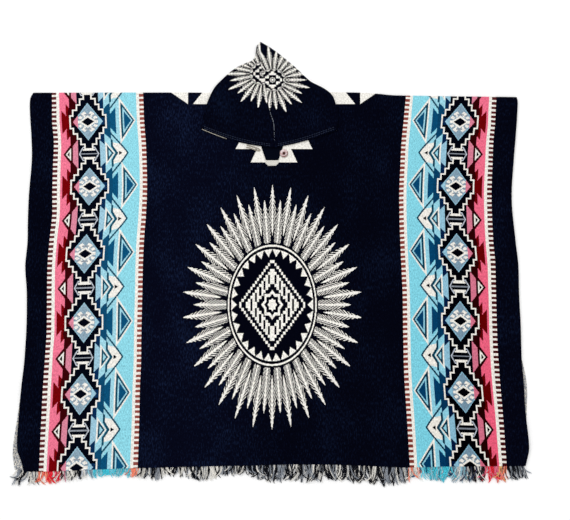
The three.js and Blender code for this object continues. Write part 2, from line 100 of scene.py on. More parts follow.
# Points of a hood section along its upper layer, round its rim and along its lower layer, and its sections
HOOD_UPPER = 26
HOOD_BEND = 8
HOOD_UNDER = 9
HOOD_ROWS = 58
# Left and right: how far the hem hangs through at its middle, and how far the pattern is off at the seam
HEM_BOW = (9, 5)
PATTERN_SLIP = ((16, -10), (-8, 6))

# Seam stitches of the hood that show, from this share of the seam on, and hem stitches
SEAM_STITCHES = 46
SEAM_FROM = 0.08
SEAM_PITCH = 0.0075
STITCH_ROWS = (0.014, 0.03)
OVERLOCK_HIGHLIGHT_FROM = 17  # the point of the hem's section where the pale strand starts: the overlocked edge, with a painted highlight of the hem's edge catching light

# Fringe
BACK_SHORTER = 4
ROOT = 2.2  # how far above the hem a yarn starts
YARN_STATIONS = 8
SPLAY_FROM = 525  # beyond this the yarns turn outwards, towards the corner
SPLAY_REACH = 72

# Fastening: the places of the button, the loop's route and the tab
BUTTON_AT = (25, -155.5)
BUTTON_HOLE_SPREAD = 2.7
LOOP_ROUTE = [
    (-66, -134.6), (-52, -138.6), (-41, -142.2), (-35.6, -144.8), (-34.4, -147.6),
    (-37, -149.2), (-43, -147.6), (-54, -143.6), (-67, -140),
]
TAB = {"x": -4.3, "down": 180.6, "width": 34, "height": 11.5}

FOLD_LINE = [(-600, 0.8), (-150, 0), (120, -1), (200, 0), (252, 3), (300, 7.5), (600, 12)]
HEM_LINE = [
    (-600, 915), (-505, 914), (-421, 910), (-334, 907), (-59, 901), (98, 898), (312, 905), (413, 903),
    (600, 902),
]
# Side edges as (down, left, right)
FRONT_EDGES = [
    (0, 594, 590), (15, 602, 601), (40, 603, 602), (110, 596, 595), (170, 592, 588), (268, 595.5, 579),
    (372, 594.5, 584), (434, 597, 589), (492, 591, 588), (577, 588, 589), (656, 590, 588), (717, 594, 591),
    (778, 597, 592), (862, 597, 597), (891, 587, 591), (915, 581, 584),
]
BACK_EDGES = [
    (10, 592, 588), (110, 592, 591), (268, 592, 575), (434, 594, 584), (577, 584, 584), (642, 586, 587),
    (681, 590, 595), (721, 595, 599), (785, 601, 596), (830, 606, 592), (873, 609, 589), (915, 602, 583),
]
# Where a woven side band lies, as (down, left outer line, left column, left inner line, right inner line,
# right column, right outer line)
BAND_LINES = [
    (0, 550, 463.5, 324.5, 327.5, 464.5, 550.5), (70, 546.5, 459.5, 320.8, 320, 459, 544.8),
    (130, 540, 455.6, 314.9, 312.6, 451.8, 536.9), (190, 540.2, 451.3, 311.2, 308.7, 446.7, 532.7),
    (250, 539.5, 448.9, 309, 304.9, 442.9, 528.6), (310, 537.5, 450.7, 310.5, 304, 441.5, 527.9),
    (370, 542, 453.8, 313.8, 304.7, 442.1, 528.9), (430, 544.3, 455.7, 315.2, 306.2, 444.3, 532),
    (490, 543.2, 453.8, 315, 308.7, 445.8, 532), (550, 541.2, 452.8, 315.1, 308.6, 445.7, 531.3),
    (610, 539.8, 451.6, 314.9, 308, 444.5, 530.9), (670, 540.8, 452.4, 314, 307.9, 445, 532),
    (730, 542.6, 454.3, 315, 309.7, 447.7, 535.2), (790, 544, 455.2, 314.7, 312.8, 451.8, 538.7),
    (851, 545.3, 457.5, 315.1, 315.3, 455.6, 541.1), (910, 546, 458.1, 316, 317.5, 458.2, 544),
]
# How much further in the inner shapes of a band lie, as (chart distance, shift)
INNER_SHIFTS = [(48, 1), (82, 3), (123, 0)]
# The rows of the bands as (down as laid, down as woven), and how much lower a row lies towards the edge
LEFT_ROWS = [
    (-20, -22.2), (75.8, 73.6), (239, 240), (404.4, 406.4), (569.8, 572.8), (737.8, 739.2), (907, 905.6),
    (940, 938.6),
]
RIGHT_ROWS = [
    (-20, -22.9), (76.5, 73.6), (238.6, 240), (402.2, 406.4), (566, 572.8), (733.8, 739.2), (901.9, 905.6),
    (940, 943.7),
]
SKEW = 0.035
ASKEW = (264, 318)  # from the straight rows of the middle to the rows of a band
PLAIN = 250  # threads nearer to the centre lie as they were woven

# Largest soft ridges of the front cloth: x, down, end x, end down, spread, rise
RIDGES = [
    (-560, 70, -572, 330, 26, 4.5), (-572, 440, -560, 620, 24, 3.5), (-585, 860, -520, 640, 26, 5.5),
    (-455, 905, -430, 740, 30, 3.5), (-330, 250, -395, 520, 34, 3), (-280, 905, -300, 700, 36, 3),
    (-60, 905, -40, 790, 30, 2.5), (90, 905, 120, 720, 34, 3.5), (300, 905, 285, 640, 34, 3.5),
    (330, 120, 300, 430, 30, 4.5), (455, 905, 440, 730, 28, 3), (520, 90, 548, 420, 28, 5.5),
    (560, 480, 545, 660, 26, 3.5), (585, 850, 550, 680, 26, 4.5),
]
RIDGE_FREE_FROM = 230
# Finer soft creases, which the solids leave out
CREASES = [
    (-250, 240, -180, 420, 16, 0.8), (190, 210, 250, 470, 15, 0.9), (-120, 600, -180, 860, 18, 0.9),
    (210, 520, 170, 800, 18, 0.8), (-480, 120, -440, 330, 15, 0.9), (-500, 380, -470, 560, 15, 0.7),
    (430, 160, 400, 380, 15, 0.9), (470, 420, 500, 640, 16, 0.8), (-600, 700, -560, 800, 12, 1.2),
    (598, 560, 580, 700, 11, 1.4), (596, 300, 575, 420, 10, 1.2), (0, 620, 40, 880, 16, 0.7),
    (-380, 600, -360, 880, 14, 0.8), (370, 560, 390, 860, 14, 0.8), (20, 230, 60, 460, 16, 0.6),
]
# Soft creases of the hood's upper layer: x, y, end x, end y, spread, rise
HOOD_CREASES = [
    (-41, 116, -34, 58, 4.5, 1.5), (-24, 112, -30, 52, 4, 1.1), (-8, 70, 50, 44, 7, 1.0),
    (-60, 66, -120, 20, 10, 0.8), (40, 40, 118, -4, 10, 0.9), (-90, -40, -150, -80, 12, 0.8),
    (70, -50, 140, -78, 12, 0.8), (-30, -60, -58, -122, 10, 0.7), (30, -70, 58, -126, 10, 0.7),
]

# Rims of the hood as (share, x, y), from the lower corner to the point, and the centre seam
LEFT_RIM = [
    (0, -179, -94), (0.12, -174, -64), (0.25, -166, -31), (0.38, -149, 8), (0.5, -129, 33), (0.62, -99, 60),
    (0.72, -74, 74), (0.8, -52, 84), (0.88, -45, 104), (0.95, -42, 121), (1, -33, HOOD_END),
]
RIGHT_RIM = [
    (0, 155.5, -97), (0.12, 160, -60), (0.25, 153, -31), (0.36, 144, -8), (0.46, 124, 9), (0.57, 91, 28),
    (0.69, 56, 62), (0.78, 31, 84), (0.86, 9, 102), (0.93, -9, 115), (1, -33, HOOD_END),
]
CENTRE_SEAM = [
    (0, 1, -141), (0.25, 0, -84), (0.45, -11, -45), (0.7, -23, 20), (0.83, -31.5, 68), (0.9, -33, 90),
    (0.96, -33, 104), (1, -33, 112),
]
HOOD_HEIGHT = [
    (-146, 5.9), (-126, 6.4), (-104, 8.1), (10, 8.3), (34, 6.9), (85, 6.6), (115, 8.4), (HOOD_END, 8.4),
]

# The woven side band. Its shapes are drawn in millimetres of woven cloth: the first number runs from the
# middle of the stepped column, outwards positive, and the second from the row of a diamond to the row
# half a repeat further. Everything mirrors at both rows.
REPEAT = 166.4
MID = REPEAT / 2
FIRST_ROW = 73.6
BACK_START = 12 * REPEAT  # how far from the front's pattern the back's is woven
BACK_SHOWN = 200  # the part of the back round the neck that is woven as the front is
BAND_MIDDLE = 461
BAND = (-141, 88)
BEYOND = 40  # how far a shape is drawn past a mirror line
BAND_SHAPES = [
    ("sky", [(-123, -BEYOND), (-123, MID + BEYOND), (0, MID + BEYOND), (0, -BEYOND)]),
    ("light_cyan", [(-76, -BEYOND), (-76, 48), (-67, 44), (-67, -BEYOND)]),
    ("light_cyan", [(-96, MID), (-53.4, 20), (-45, 20), (-45, 150), (-53.4, 147)]),
    ("sea_blue", [(-51.5, -BEYOND), (-67.6, -BEYOND), (-68.6, 35.5), (-53, 15.7)]),
    ("deep_blue", [(-20, -BEYOND), (-53, -BEYOND), (-55.5, 32), (-20, 32)]),
    ("deep_blue", [(-38.5, 31), (-55.5, 31), (-55.5, 50)]),
    ("teal", [(-96.5, MID), (-54.5, 29), (-54.5, 138)]),
    ("light_cyan", [(-91.3, MID), (-54.5, 35), (-54.5, 131.4)]),
    ("cream", [(-91.3, MID), (-73, 59.3), (-55, 55), (-55, 111.4), (-73, 107.1)]),
    ("teal", [(-50, 44), (-58, 49), (-58, 119), (-50, 124)]),
    ("teal", [(-53, 56), (-70, MID), (-53, 110.4)]),
    ("light_cyan", [(-38.5, 32.5), (-53.3, 46), (-53.3, 120.4), (-38.5, 134)]),
    ("light_cyan", [(-53.1, 65.6), (-63.4, MID), (-53.1, 100.8)]),
    ("navy_blue", [(-20, 30), (-38.8, 30), (-38.8, 68), (-20, 68)]),
    ("cream", [(-40.5, 52.8), (-62.8, MID), (-40.5, 113.6)]),
    ("teal", [(-43.8, 61.4), (-59.4, MID), (-43.8, 105)]),
    ("light_cyan", [(-47.2, 73.4), (-54.6, MID), (-47.2, 93)]),
    ("black", [(-71.6, 78), (-80, MID), (-71.6, 88.4)]),
    ("pale_blue", [(-25, 47.2), (-40.5, 62.6), (-40.5, 103.8), (-25, 119.2)]),
    ("cream", [(-76.5, 60), (-119.8, 0), (-76.5, -60)]),
    ("teal", [(-80.3, 47.5), (-116.3, 0), (-80.3, -47.5)]),
    ("light_cyan", [(-84.6, 34.6), (-111, 0), (-84.6, -34.6)]),
    ("sea_blue", [(-88, 24.4), (-107.6, 0), (-88, -24.4)]),
    ("pink", [(0, -BEYOND), (70, -BEYOND), (70, MID + BEYOND), (0, MID + BEYOND)]),
    ("dark_red", [(0, -BEYOND), (53.8, -BEYOND), (53.8, 36), (0, 36)]),
    ("dark_red", [(45.6, 20), (54, 20), (54.3, 47), (45.6, 36)]),
    ("dark_red", [(53.6, -BEYOND), (64.9, -BEYOND), (65.4, 30.6), (53.6, 16.5)]),
    ("maroon", [(0, 14), (48, 14), (49.5, 26), (45.6, 40), (0, 40)]),
    ("maroon", [(0, 36), (45.6, 36), (45.6, 126), (0, 126)]),
    ("maroon", [(43.6, 55.5), (63.8, MID), (43.6, 110.9)]),
    ("cream", [(45, 67.4), (58, MID), (45, 99)]),
    ("black", [(48.2, 76.2), (54.2, MID), (48.2, 90.2)]),
    ("dusty_pink", [(27.2, 46.2), (39.8, 62.2), (39.8, 104.2), (27.2, 120.2)]),
]
# Shapes that mirror at the middle of the column too, drawn before and after the stepped field
COLUMN_UNDER = [
    ("black", [(0, 36), (27.2, 36), (27.2, 130), (0, 130)]),
    ("light_grey", [(0, 65.5), (15.2, 65.5), (24.8, MID), (15.2, 101)]),
    ("black", [(0, 68), (13.6, 68), (22.3, MID), (13.6, 98.4)]),
    ("cream", [(0, 71), (15.4, 71), (15.4, 75), (0, 75)]),
    ("line_grey", [(0, 81.6), (22, 81.6), (22, 90), (0, 90)]),
]
COLUMN_OVER = [
    ("pale_blue", [(0, 48), (36.7, 0), (0, -48)]),
    ("grey_blue", [(0, 45), (34.4, 0), (0, -45)]),
    ("cream", [(0, 16.5), (22.5, 0), (0, -16.5)]),
    ("cream", [(3, 21), (7.6, 26.6), (17, 20.6), (13, 13), (7.5, 11)]),
    ("cream", [(12.5, 11), (19.4, 15.6), (24.6, 10.2), (18.4, 4.6)]),
    ("cream", [(18, 3.4), (25, 3.4), (25, -3.4), (18, -3.4)]),
    ("line_grey", [(-1, 17), (8.4, 17.2), (8, 20.2), (-1, 20.2)]),
    ("line_grey", [(11.2, 12.2), (17, 16.8), (15.4, 18.9), (9.6, 14.3)]),
    ("line_grey", [(17.8, 4.2), (23.6, 7.2), (22.7, 9.2), (16.9, 6.2)]),
    ("black", [(0, 10.9), (15.8, 0), (0, -10.9)]),
]
COLUMN_TIPS = [
    ("dusty_pink", [(24, 17), (37, 0), (24, -17)]),
    ("pale_blue", [(-26, 14), (-37, 0), (-26, -14)]),
]
COLUMN_TINTS = [
    ("maroon", [(31, 9), (42, 9), (42, -9), (31, -9)]),
    ("navy_blue", [(-31, 9), (-42, 9), (-42, -9), (-31, -9)]),
]
# The stepped field as (half width, reach), and the thickness of its outline
STEPS = [(44, 16.5), (37, 30.5), (27.3, 44), (19, 58.5), (10, 70.5)]
STEP_LINE = 1.8
DASH_PERIOD = 11.7
DASH_SHARE = 0.55
DASH_WIDTH = 10.2
DASH_START = 3.4

# The stepped motif at the neck and the shoulders, as (distance from the centre, down)
NECK_SHAPES = [
    [(0, 145), (94.3, 145), (72, 98), (0, 98)],
    [(0, 178.3), (57, 178.3), (41, 143), (0, 143)],
    [(262, -3), (213, -3), (213, 30.5)],
    [(200.5, 30.5), (150, 30.5), (131, -4), (174, -4)],
]

# The sunburst in the middle of the front, and the one on the hood
FRONT_BURST = {"centre": (-3.5, -527), "size": (219, 299), "rays": 30, "coarse": 1.0, "core": 0.5}
HOOD_BURST = {"centre": (-12, 36), "size": (104, 96), "rays": 13, "coarse": 1.9, "core": 0.32}

FACE = "acrylic blanket cloth, jacquard woven"
REVERSE = "acrylic blanket cloth, reverse floats"
# Acrylic cloth is matt, and its gloss is set lower still because the nap swallows light
FACE_FINISH = {"Roughness": 0.92, "Specular IOR Level": 0.008}
PLY_SCALE = 150  # waves of a thread's plies in a metre, drawn as coarse as they need to show
PEARL = "f0e2e4"
PAPER = ("fbfbfb", "ffffff")

# Where a painted sheen makes the navy ground of the front paler, and how far it reaches
PAINTED_SHEEN_AT = -215
PAINTED_SHEEN_REACH = 260.0
# How much painted shade darkens the right band at the fold and at the hem, as added gamma, and how far down
# that is
PAINTED_SHADE_GAMMA = (0.08, 0.34)
PAINTED_SHADE_DEEPEST_AT = 900

# How far the fringe of the front hangs below its hem, as (distance across, reach)
FRINGE_REACH = [
    (-600, 31), (-530, 28), (-485, 21), (-450, 18), (-390, 18), (-330, 20), (-275, 26), (-235, 18),
    (-165, 31), (-115, 21), (-50, 24), (-15, 38), (60, 39), (160, 37), (255, 42), (300, 36), (335, 28),
    (400, 33), (520, 34), (600, 28),
]
BACK_REACH = 0.62  # share of that reach at the back hem
LOCK = 2  # yarns of one colour that lie together

# Fringe colours by distance from the centre at the hem: (from, colours to draw from)
LEFT_STRIPES = [
    (0, ["black", "navy", "black", "cream", "line_grey"]),
    (120, ["black", "navy", "cream", "line_grey", "cream"]),
    (311, ["coral", "coral", "cream"]),
    (334, ["fringe_cyan", "fringe_cyan", "fringe_cyan", "light_cyan", "sky"]),
    (420, ["grey_blue", "cream", "light_grey", "light_cyan"]),
    (446, ["black", "cream", "navy", "cream"]),
    (478, ["dusty_pink", "cream", "line_grey", "maroon"]),
    (496, ["fringe_red", "pink", "fringe_red", "cream"]),
    (528, ["coral", "coral", "fringe_red", "cream"]),
    (549, ["black", "cream", "cream", "navy", "line_grey"]),
]
RIGHT_STRIPES = [
    (0, ["black", "navy", "navy", "line_grey", "cream"]),
    (315, ["coral", "coral", "cream"]),
    (340, ["fringe_cyan", "fringe_cyan", "sky", "sea_blue", "light_cyan"]),
    (415, ["grey_blue", "cream", "light_cyan", "navy_blue"]),
    (446, ["black", "black", "navy", "cream", "slate"]),
    (474, ["dusty_pink", "black", "maroon", "black", "cream"]),
    (496, ["fringe_red", "fringe_red", "pink"]),
    (524, ["coral", "yellow", "coral", "black", "black"]),
    (546, ["black", "black", "black", "navy", "line_grey"]),
]

# Camera and stage
CAMERA_AIM = (0.0307, -0.0065, 0)
CAMERA_TILT = 7
CAMERA_DISTANCE = 1.8
CAMERA_LENS = 47.07
SENSOR = 36


def linear(value):
    """Turns a colour written as sRGB hex digits into linear red, green, blue and opacity."""
    channels = [int(value[i:i + 2], 16) / 255 for i in (0, 2, 4)]
    return tuple(c / 12.92 if c <= 0.04045 else ((c + 0.055) / 1.055) ** 2.4 for c in channels) + (1.0,)


def length(name, description, value):
    return bpy.props.FloatProperty(
        name=name, description=description, default=value, unit="LENGTH", precision=5
    )


def colour(name, description, value):
    return bpy.props.FloatVectorProperty(
        name=name, description=description, default=linear(value), size=4, subtype="COLOR", min=0, max=1
    )


class PonchoSizes(bpy.types.PropertyGroup):
    grid: length("Cloth grid", "Spacing of the points of the body cloth", 0.006)
    back_grid: length("Back grid", "Spacing of the points of the back cloth", 0.012)
    thread: length("Thread spacing", "Spacing of the woven threads, drawn a little coarse", 0.0012)
    yarn_radius: length("Fringe yarn", "Radius of one fringe yarn", 0.00085)
    yarns: bpy.props.IntProperty(name="Yarns", description="Number of yarns in the front fringe", default=980)
    edging: length("Edging", "Radius of the rolled edge of the neck slit", 0.0011)
    loop_ply: length("Loop ply", "Radius of one ply of the button loop", 0.001)
    stitch: length("Stitch", "Length of one topstitch", 0.0042)
    stitch_radius: length("Stitch thread", "Radius of the sewing thread", 0.0004)


class PonchoColours(bpy.types.PropertyGroup):
    navy: colour("Navy", "Ground of the cloth", "03040f")
    fleck: colour("Fleck", "Lighter flecks in the ground", "0d162c")
    cream: colour("Cream", "Undyed pattern yarn", "e9e6df")
    black: colour("Black", "Darkest pattern yarn", "030612")
    dash: colour("Red brown", "Dashes along the inner borders", "8f4a42")
    dark_dash: colour("Brown", "Dashes along the outer borders", "5a2628")
    pink: colour("Pink", "Outer field of the bands", "e7738e")
    dusty_pink: colour("Dusty pink", "Outer hexagons", "d38297")
    dark_red: colour("Dark red", "Outer zigzag", "700308")
    maroon: colour("Maroon", "Darkest red", "360307")
    sky: colour("Sky", "Inner field of the bands", "8cd2e0")
    light_cyan: colour("Light cyan", "Light lines of the inner field", "9bcfdd")
    pale_blue: colour("Pale blue", "Inner hexagons", "98c1d3")
    grey_blue: colour("Grey blue", "Diamonds", "869faf")
    sea_blue: colour("Sea blue", "Blue blocks", "0c4e74")
    deep_blue: colour("Deep blue", "Darker blue blocks", "0e476a")
    navy_blue: colour("Navy blue", "Darkest blue blocks", "082a50")
    teal: colour("Teal", "Dark outlines of the inner field", "12495e")
    line_grey: colour("Grey", "Grey lines and yarns", "8d939c")
    light_grey: colour("Light grey", "Thin lines of the column", "c0c6d0")
    slate: colour("Slate", "Topstitching of the hood", "39435c")
    reverse: colour("Reverse", "Back of the cloth", "e0d9cb")
    coral: colour("Coral", "Coral fringe yarns", "fb9478")
    yellow: colour("Yellow", "Yellow fringe yarns", "f6cc78")
    fringe_red: colour("Red", "Red fringe yarns", "e8283a")
    fringe_cyan: colour("Cyan", "Cyan fringe yarns", "4fd4e8")
    ecru: colour("Ecru", "Cord of the button loop", "a8a092")
    shell: colour("Button", "Pinkish button", "bf9896")
    # Also the colour of the button's painted rim shade
    shell_middle: colour("Button brown and rim shade", "Brown middle of the button and its painted rim shade", "6b3a32")
    button_thread: colour("Button thread", "Brown thread of the button", "47211a")


def clamp(value, low, high):
    return max(low, min(high, value))


def mix(a, b, share):
    return a + (b - a) * share


def ease(value, low, high):
    share = clamp((value - low) / (high - low), 0, 1)
    return share * share * (3 - 2 * share)


def read_table(rows, column, at):
    """Smooth value of a table's column at a place between its rows."""
    last = len(rows) - 1
    place = clamp(at, rows[0][0], rows[last][0])
    i = 0
    while i < last - 1 and place > rows[i + 1][0]:
        i += 1

    def slope(k):
        before = rows[max(k - 1, 0)]
        after = rows[min(k + 1, last)]
        return (after[column] - before[column]) / (after[0] - before[0])

    span = rows[i + 1][0] - rows[i][0]
    f = (place - rows[i][0]) / span
    bend = slope(i) * f * (1 - f) * (1 - f) - slope(i + 1) * f * f * (1 - f)
    return mix(rows[i][column], rows[i + 1][column], f * f * (3 - 2 * f)) + span * bend


def read_row(rows, at):
    """Smooth values of all columns of a table at a place between its rows."""
    return [read_table(rows, column, at) for column in range(1, len(rows[0]))]


def fold_y(x):
    return -read_table(FOLD_LINE, 1, x)


def hem_y(x):
    return -read_table(HEM_LINE, 1, x)


def ridges_at(rows, x, second):
    """Height that soft ridges add at a place."""
    rise = 0
    for ridge_x, ridge_second, to_x, to_second, spread, height in rows:
        run = (to_x - ridge_x, to_second - ridge_second)
        reach = (x - ridge_x, second - ridge_second)
        share = clamp((reach[0] * run[0] + reach[1] * run[1]) / (run[0] ** 2 + run[1] ** 2), 0, 1)
        away = math.hypot(reach[0] - share * run[0], reach[1] - share * run[1]) / spread
        if away < 3.2:
            rise += height * math.exp(-away * away)
    return rise


def front_rise(x, down):
    """Height of the front cloth above its lowest lie, as in the solids."""
    near_neck = 1 - ease(abs(x), RIDGE_FREE_FROM - 40, RIDGE_FREE_FROM + 20)
    at_top = 1 - ease(down, RIDGE_FREE_FROM - 30, RIDGE_FREE_FROM + 60)
    return ridges_at(RIDGES, x, down) * (1 - near_neck * at_top) * ease(down, 8, 90)


def front_ripple(x, down):
    """Fine lie of the front cloth, which the solids leave out."""
    # Noise as wide and as long as the first two divisors say, in millimetres
    soft = 0.55 + 0.5 * noise.noise(Vector((x / 75, down / 110, 4.2)))
    crumple = 0.2 + 0.22 * noise.noise(Vector((x / 24, down / 30, 9.1)))
    free = 1 - (1 - ease(abs(x), 185, 240)) * (1 - ease(down, 185, 260))
    hem = 0.8 * ease(down, 850, 905) * (0.5 + 0.5 * math.sin(x / 17 + 2 * math.sin(x / 61)))
    return (max(soft, 0) + max(crumple, 0) + ridges_at(CREASES, x, down) + hem) * free * ease(down, 6, 60)


def place(points):
    """Garment millimetres to metres in the row frame."""
    low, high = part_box("button")
    move = (low + high) / 2 - Vector((BUTTON_AT[0], BUTTON_AT[1], 0)) * MM
    return [(x * MM + move.x, y * MM + move.y, z * MM) for x, y, z in points]


def add_mesh(name, points, faces, spots, materials, face_material=None):
    """A mesh object from garment points, with a UV map that says where the cloth was woven."""
    mesh = bpy.data.meshes.new(name)
    mesh.from_pydata(place(points), [], faces)
    mesh.validate()
    for material in materials:
        mesh.materials.append(material)
    if face_material:
        mesh.polygons.foreach_set("material_index", face_material)
    if spots:
        layer = mesh.uv_layers.new(name="woven")
        flat = []
        for loop in mesh.loops:
            flat.extend((spots[loop.vertex_index][0] * MM, spots[loop.vertex_index][1] * MM))
        layer.data.foreach_set("uv", flat)
    mesh.update()
    made = bpy.data.objects.new(name, mesh)
    bpy.context.collection.objects.link(made)
    return made


def pick(*objects):
    """Leaves only these objects selected, the first of them active."""
    bpy.ops.object.select_all(action="DESELECT")
    for each in objects:
        each.select_set(True)
    bpy.context.view_layer.objects.active = objects[0]


def smooth(made, angle):
    pick(made)
    bpy.ops.object.shade_smooth_by_angle(angle=math.radians(angle))


def finish_piece(made, slot, *nodes):
    """Hands a piece to the frame: its body and the nodes that it stands for. The slot for its finish is not
    used.
    """
    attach(made, "root")
    if nodes:
        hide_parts(*nodes)


def net_normal(net, i, j):
    row = net[i]
    across = row[min(j + 1, len(row) - 1)] - row[max(j - 1, 0)]
    along = net[min(i + 1, len(net) - 1)][j] - net[max(i - 1, 0)][j]
    return along.cross(across).normalized()


def cloth_wall(name, net, spots, materials, normal_at=net_normal, outer_at=None):
    """A closed cloth wall on both sides of a net of middle points, its outer side first."""
    rows, columns = len(net), len(net[0])
    points, places = [], []
    for side in (1, -1):
        for i in range(rows):
            for j in range(columns):
                outer = outer_at(i, j) if outer_at else HALF
                points.append(net[i][j] + normal_at(net, i, j) * (outer if side > 0 else -HALF))
                places.append(spots[i][j])
    inner = rows * columns
    faces, sides = [], []
    for i in range(rows - 1):
        for j in range(columns - 1):
            a, b = i * columns + j, (i + 1) * columns + j
            faces.append((a, b, b + 1, a + 1))
            faces.append((inner + a, inner + a + 1, inner + b + 1, inner + b))
            sides.extend((0, 1))
    for i in range(rows - 1):
        a, b = i * columns, (i + 1) * columns
        faces.append((a, inner + a, inner + b, b))
        a, b = a + columns - 1, b + columns - 1
        faces.append((a, b, inner + b, inner + a))
        sides.extend((0, 0))
    for j in range(columns - 1):
        faces.append((j, j + 1, inner + j + 1, inner + j))
        a = (rows - 1) * columns + j
        faces.append((a, inner + a, inner + a + 1, a + 1))
        sides.extend((0, 0))
    volume = 0
    for a, b, c, d in faces:
        volume += points[a].dot(points[b].cross(points[c])) + points[a].dot(points[c].cross(points[d]))
    if volume < 0:
        faces = [face[::-1] for face in faces]
    return add_mesh(name, [tuple(p) for p in points], faces, places, materials, sides)


def heading_at(path, k):
    """Direction of a path at one of its points."""
    return (path[min(k + 1, len(path) - 1)] - path[max(k - 1, 0)]).normalized()


def tube(points, radii, sides=6, twist=0.0):
    """Points and faces of a closed tube along a path, its section turning by twist at each station."""
    vertices, faces = [], []
    path = [Vector(p) for p in points]
    for k, centre in enumerate(path):
        ahead = heading_at(path, k)
        side = ahead.cross(Vector((0, 0, 1)))
        side = side.normalized() if side.length > 1e-6 else Vector((1, 0, 0))
        up = side.cross(ahead)
        for s in range(sides):
            turn = math.tau * s / sides + twist * k
            vertices.append(centre + (side * math.cos(turn) + up * math.sin(turn)) * radii[k])
    for k in range(len(path) - 1):
        for s in range(sides):
            a, b = k * sides + s, k * sides + (s + 1) % sides
            faces.append((a, b, b + sides, a + sides))
    last = (len(path) - 1) * sides
    faces.append(tuple(range(sides))[::-1])
    faces.append(tuple(last + s for s in range(sides)))
    return vertices, faces


def join_tubes(name, tubes, material, colours=None):
    """One mesh object from many tubes, with a colour for each tube where they are given."""
    points, faces, shades = [], [], []
    for number, (vertices, sides) in enumerate(tubes):
        start = len(points)
        points.extend(tuple(v) for v in vertices)
        faces.extend(tuple(start + v for v in face) for face in sides)
        if colours:
            shades.extend(list(colours[number]) * len(vertices))
    made = add_mesh(name, points, faces, None, [material])
    if colours:
        layer = made.data.color_attributes.new("yarn", "FLOAT_COLOR", "POINT")
        layer.data.foreach_set("color", shades)
    return made


def sew(name, tubes, material, *nodes):
    """Joins threads into one smooth piece of trim and hands it to the frame."""
    made = join_tubes(name, tubes, material)
    smooth(made, 60)
    finish_piece(made, "cream_trim", *nodes)


def add(tree, kind, *values, out=0, **settings):
    """Adds a node with its settings, values and links, and gives one of its outputs. The kind may end with
    the node's operation, and the values come in the order of its inputs, or in a dictionary."""
    kind, _, operation = kind.partition(" ")
    made = tree.nodes.new("ShaderNode" + kind)
    if operation:
        made.operation = operation
    for name, value in settings.items():
        setattr(made, name, value)
    inputs = values[0] if values and isinstance(values[0], dict) else dict(enumerate(values))
    for key, value in inputs.items():
        if isinstance(value, bpy.types.NodeSocket):
            tree.links.new(value, made.inputs[key])
        else:
            made.inputs[key].default_value = value
    return made.outputs[out]


def new_material(name, finish):
    """A material with only its shader and output, its finish set as plain values on the shader."""
    material = bpy.data.materials.new(name)
    material.use_nodes = True
    shader = material.node_tree.nodes["Principled BSDF"]
    for socket, value in finish.items():
        shader.inputs[socket].default_value = value
    return material, material.node_tree


def dye(tree, shade, height=None, strength=0.35, depth=0.35):
    """Gives the shader its colour, and its relief with a depth in millimetres."""
    shader = tree.nodes["Principled BSDF"]
    tree.links.new(shade, shader.inputs["Base Color"])
    if height is not None:
        bump = add(tree, "Bump", {"Strength": strength, "Distance": depth * MM, "Height": height})
        tree.links.new(bump, shader.inputs["Normal"])


def cover(tree, under, colour_over, mask):
    """Lays a colour over the colours so far: wholly where the mask is 1, in part where it is less."""
    return add(tree, "Mix", {0: mask, 6: under, 7: colour_over}, out=2, data_type="RGBA", clamp_factor=True)


def stamp(tree, under, colour_over, depth, start=0.0):
    """Lays a colour over the colours so far where a depth is greater than its start."""
    return cover(tree, under, colour_over, add(tree, "Math GREATER_THAN", depth, start))


def inside_polygon(tree, point, corners, skip):
    """How far a point lies inside a convex outline, in millimetres, skipping sides beyond a mirror line."""
    area = sum(a[0] * b[1] - b[0] * a[1] for a, b in zip(corners, corners[1:] + corners[:1]))
    if area < 0:
        corners = corners[::-1]
    nearest = None
    for a, b in zip(corners, corners[1:] + corners[:1]):
        if skip(a, b):
            continue
        run = math.hypot(b[0] - a[0], b[1] - a[1])
        across = (-(b[1] - a[1]) / run, (b[0] - a[0]) / run)
        reach = -(across[0] * a[0] + across[1] * a[1])
        away = add(tree, "VectorMath DOT_PRODUCT", point, (*across, reach), out=1)
        nearest = away if nearest is None else add(tree, "Math MINIMUM", nearest, away)
    return nearest


def paint_shapes(tree, under, point, shapes, palette, skip):
    for name, corners in shapes:
        under = stamp(tree, under, palette[name], inside_polygon(tree, point, corners, skip))
    return under


# A side of an outline that lies beyond a mirror line bounds nothing, so it is skipped
def beyond_rows(a, b):
    return (a[1] <= 0 and b[1] <= 0) or (a[1] >= MID and b[1] >= MID)


def beyond_centre(a, b):
    return a[0] <= 0 and b[0] <= 0


def beyond_column(a, b):
    return beyond_rows(a, b) or beyond_centre(a, b)


def get_palette():
    colours = bpy.context.scene.poncho_colours
    return {name: tuple(getattr(colours, name)) for name in PonchoColours.__annotations__}


def woven_place(tree):
    """Where a spot was woven, in millimetres, and the same place snapped to the nearest thread."""
    thread = bpy.context.scene.poncho_sizes.thread / MM
    spot = add(tree, "UVMap", uv_map="woven")
    exact = add(tree, "VectorMath MULTIPLY", spot, (1000, 1000, 0))
    snapped = add(tree, "VectorMath SNAP", exact, (thread, thread, 1))
    return exact, snapped


def weave_relief(tree, exact):
    """Ribs along the warp with a finer rise over each weft thread."""
    thread = bpy.context.scene.poncho_sizes.thread / MM
    parts = add(tree, "SeparateXYZ", exact)
    weft = parts.node.outputs[1]
    rib = add(tree, "Math PINGPONG", parts, thread / 2)
    pick_rise = add(tree, "Math PINGPONG", weft, thread / 2)
    return add(tree, "Math MULTIPLY_ADD", pick_rise, 0.5, rib)


def streaks(tree, point, across, along, detail):
    """Soft noise that runs along the warp, with this many changes in a millimetre across and along."""
    stretched = add(tree, "VectorMath MULTIPLY", point, (across, along, 1))
    return add(tree, "TexNoise", {"Vector": stretched, "Scale": 1.0, "Detail": detail}, noise_dimensions="2D")


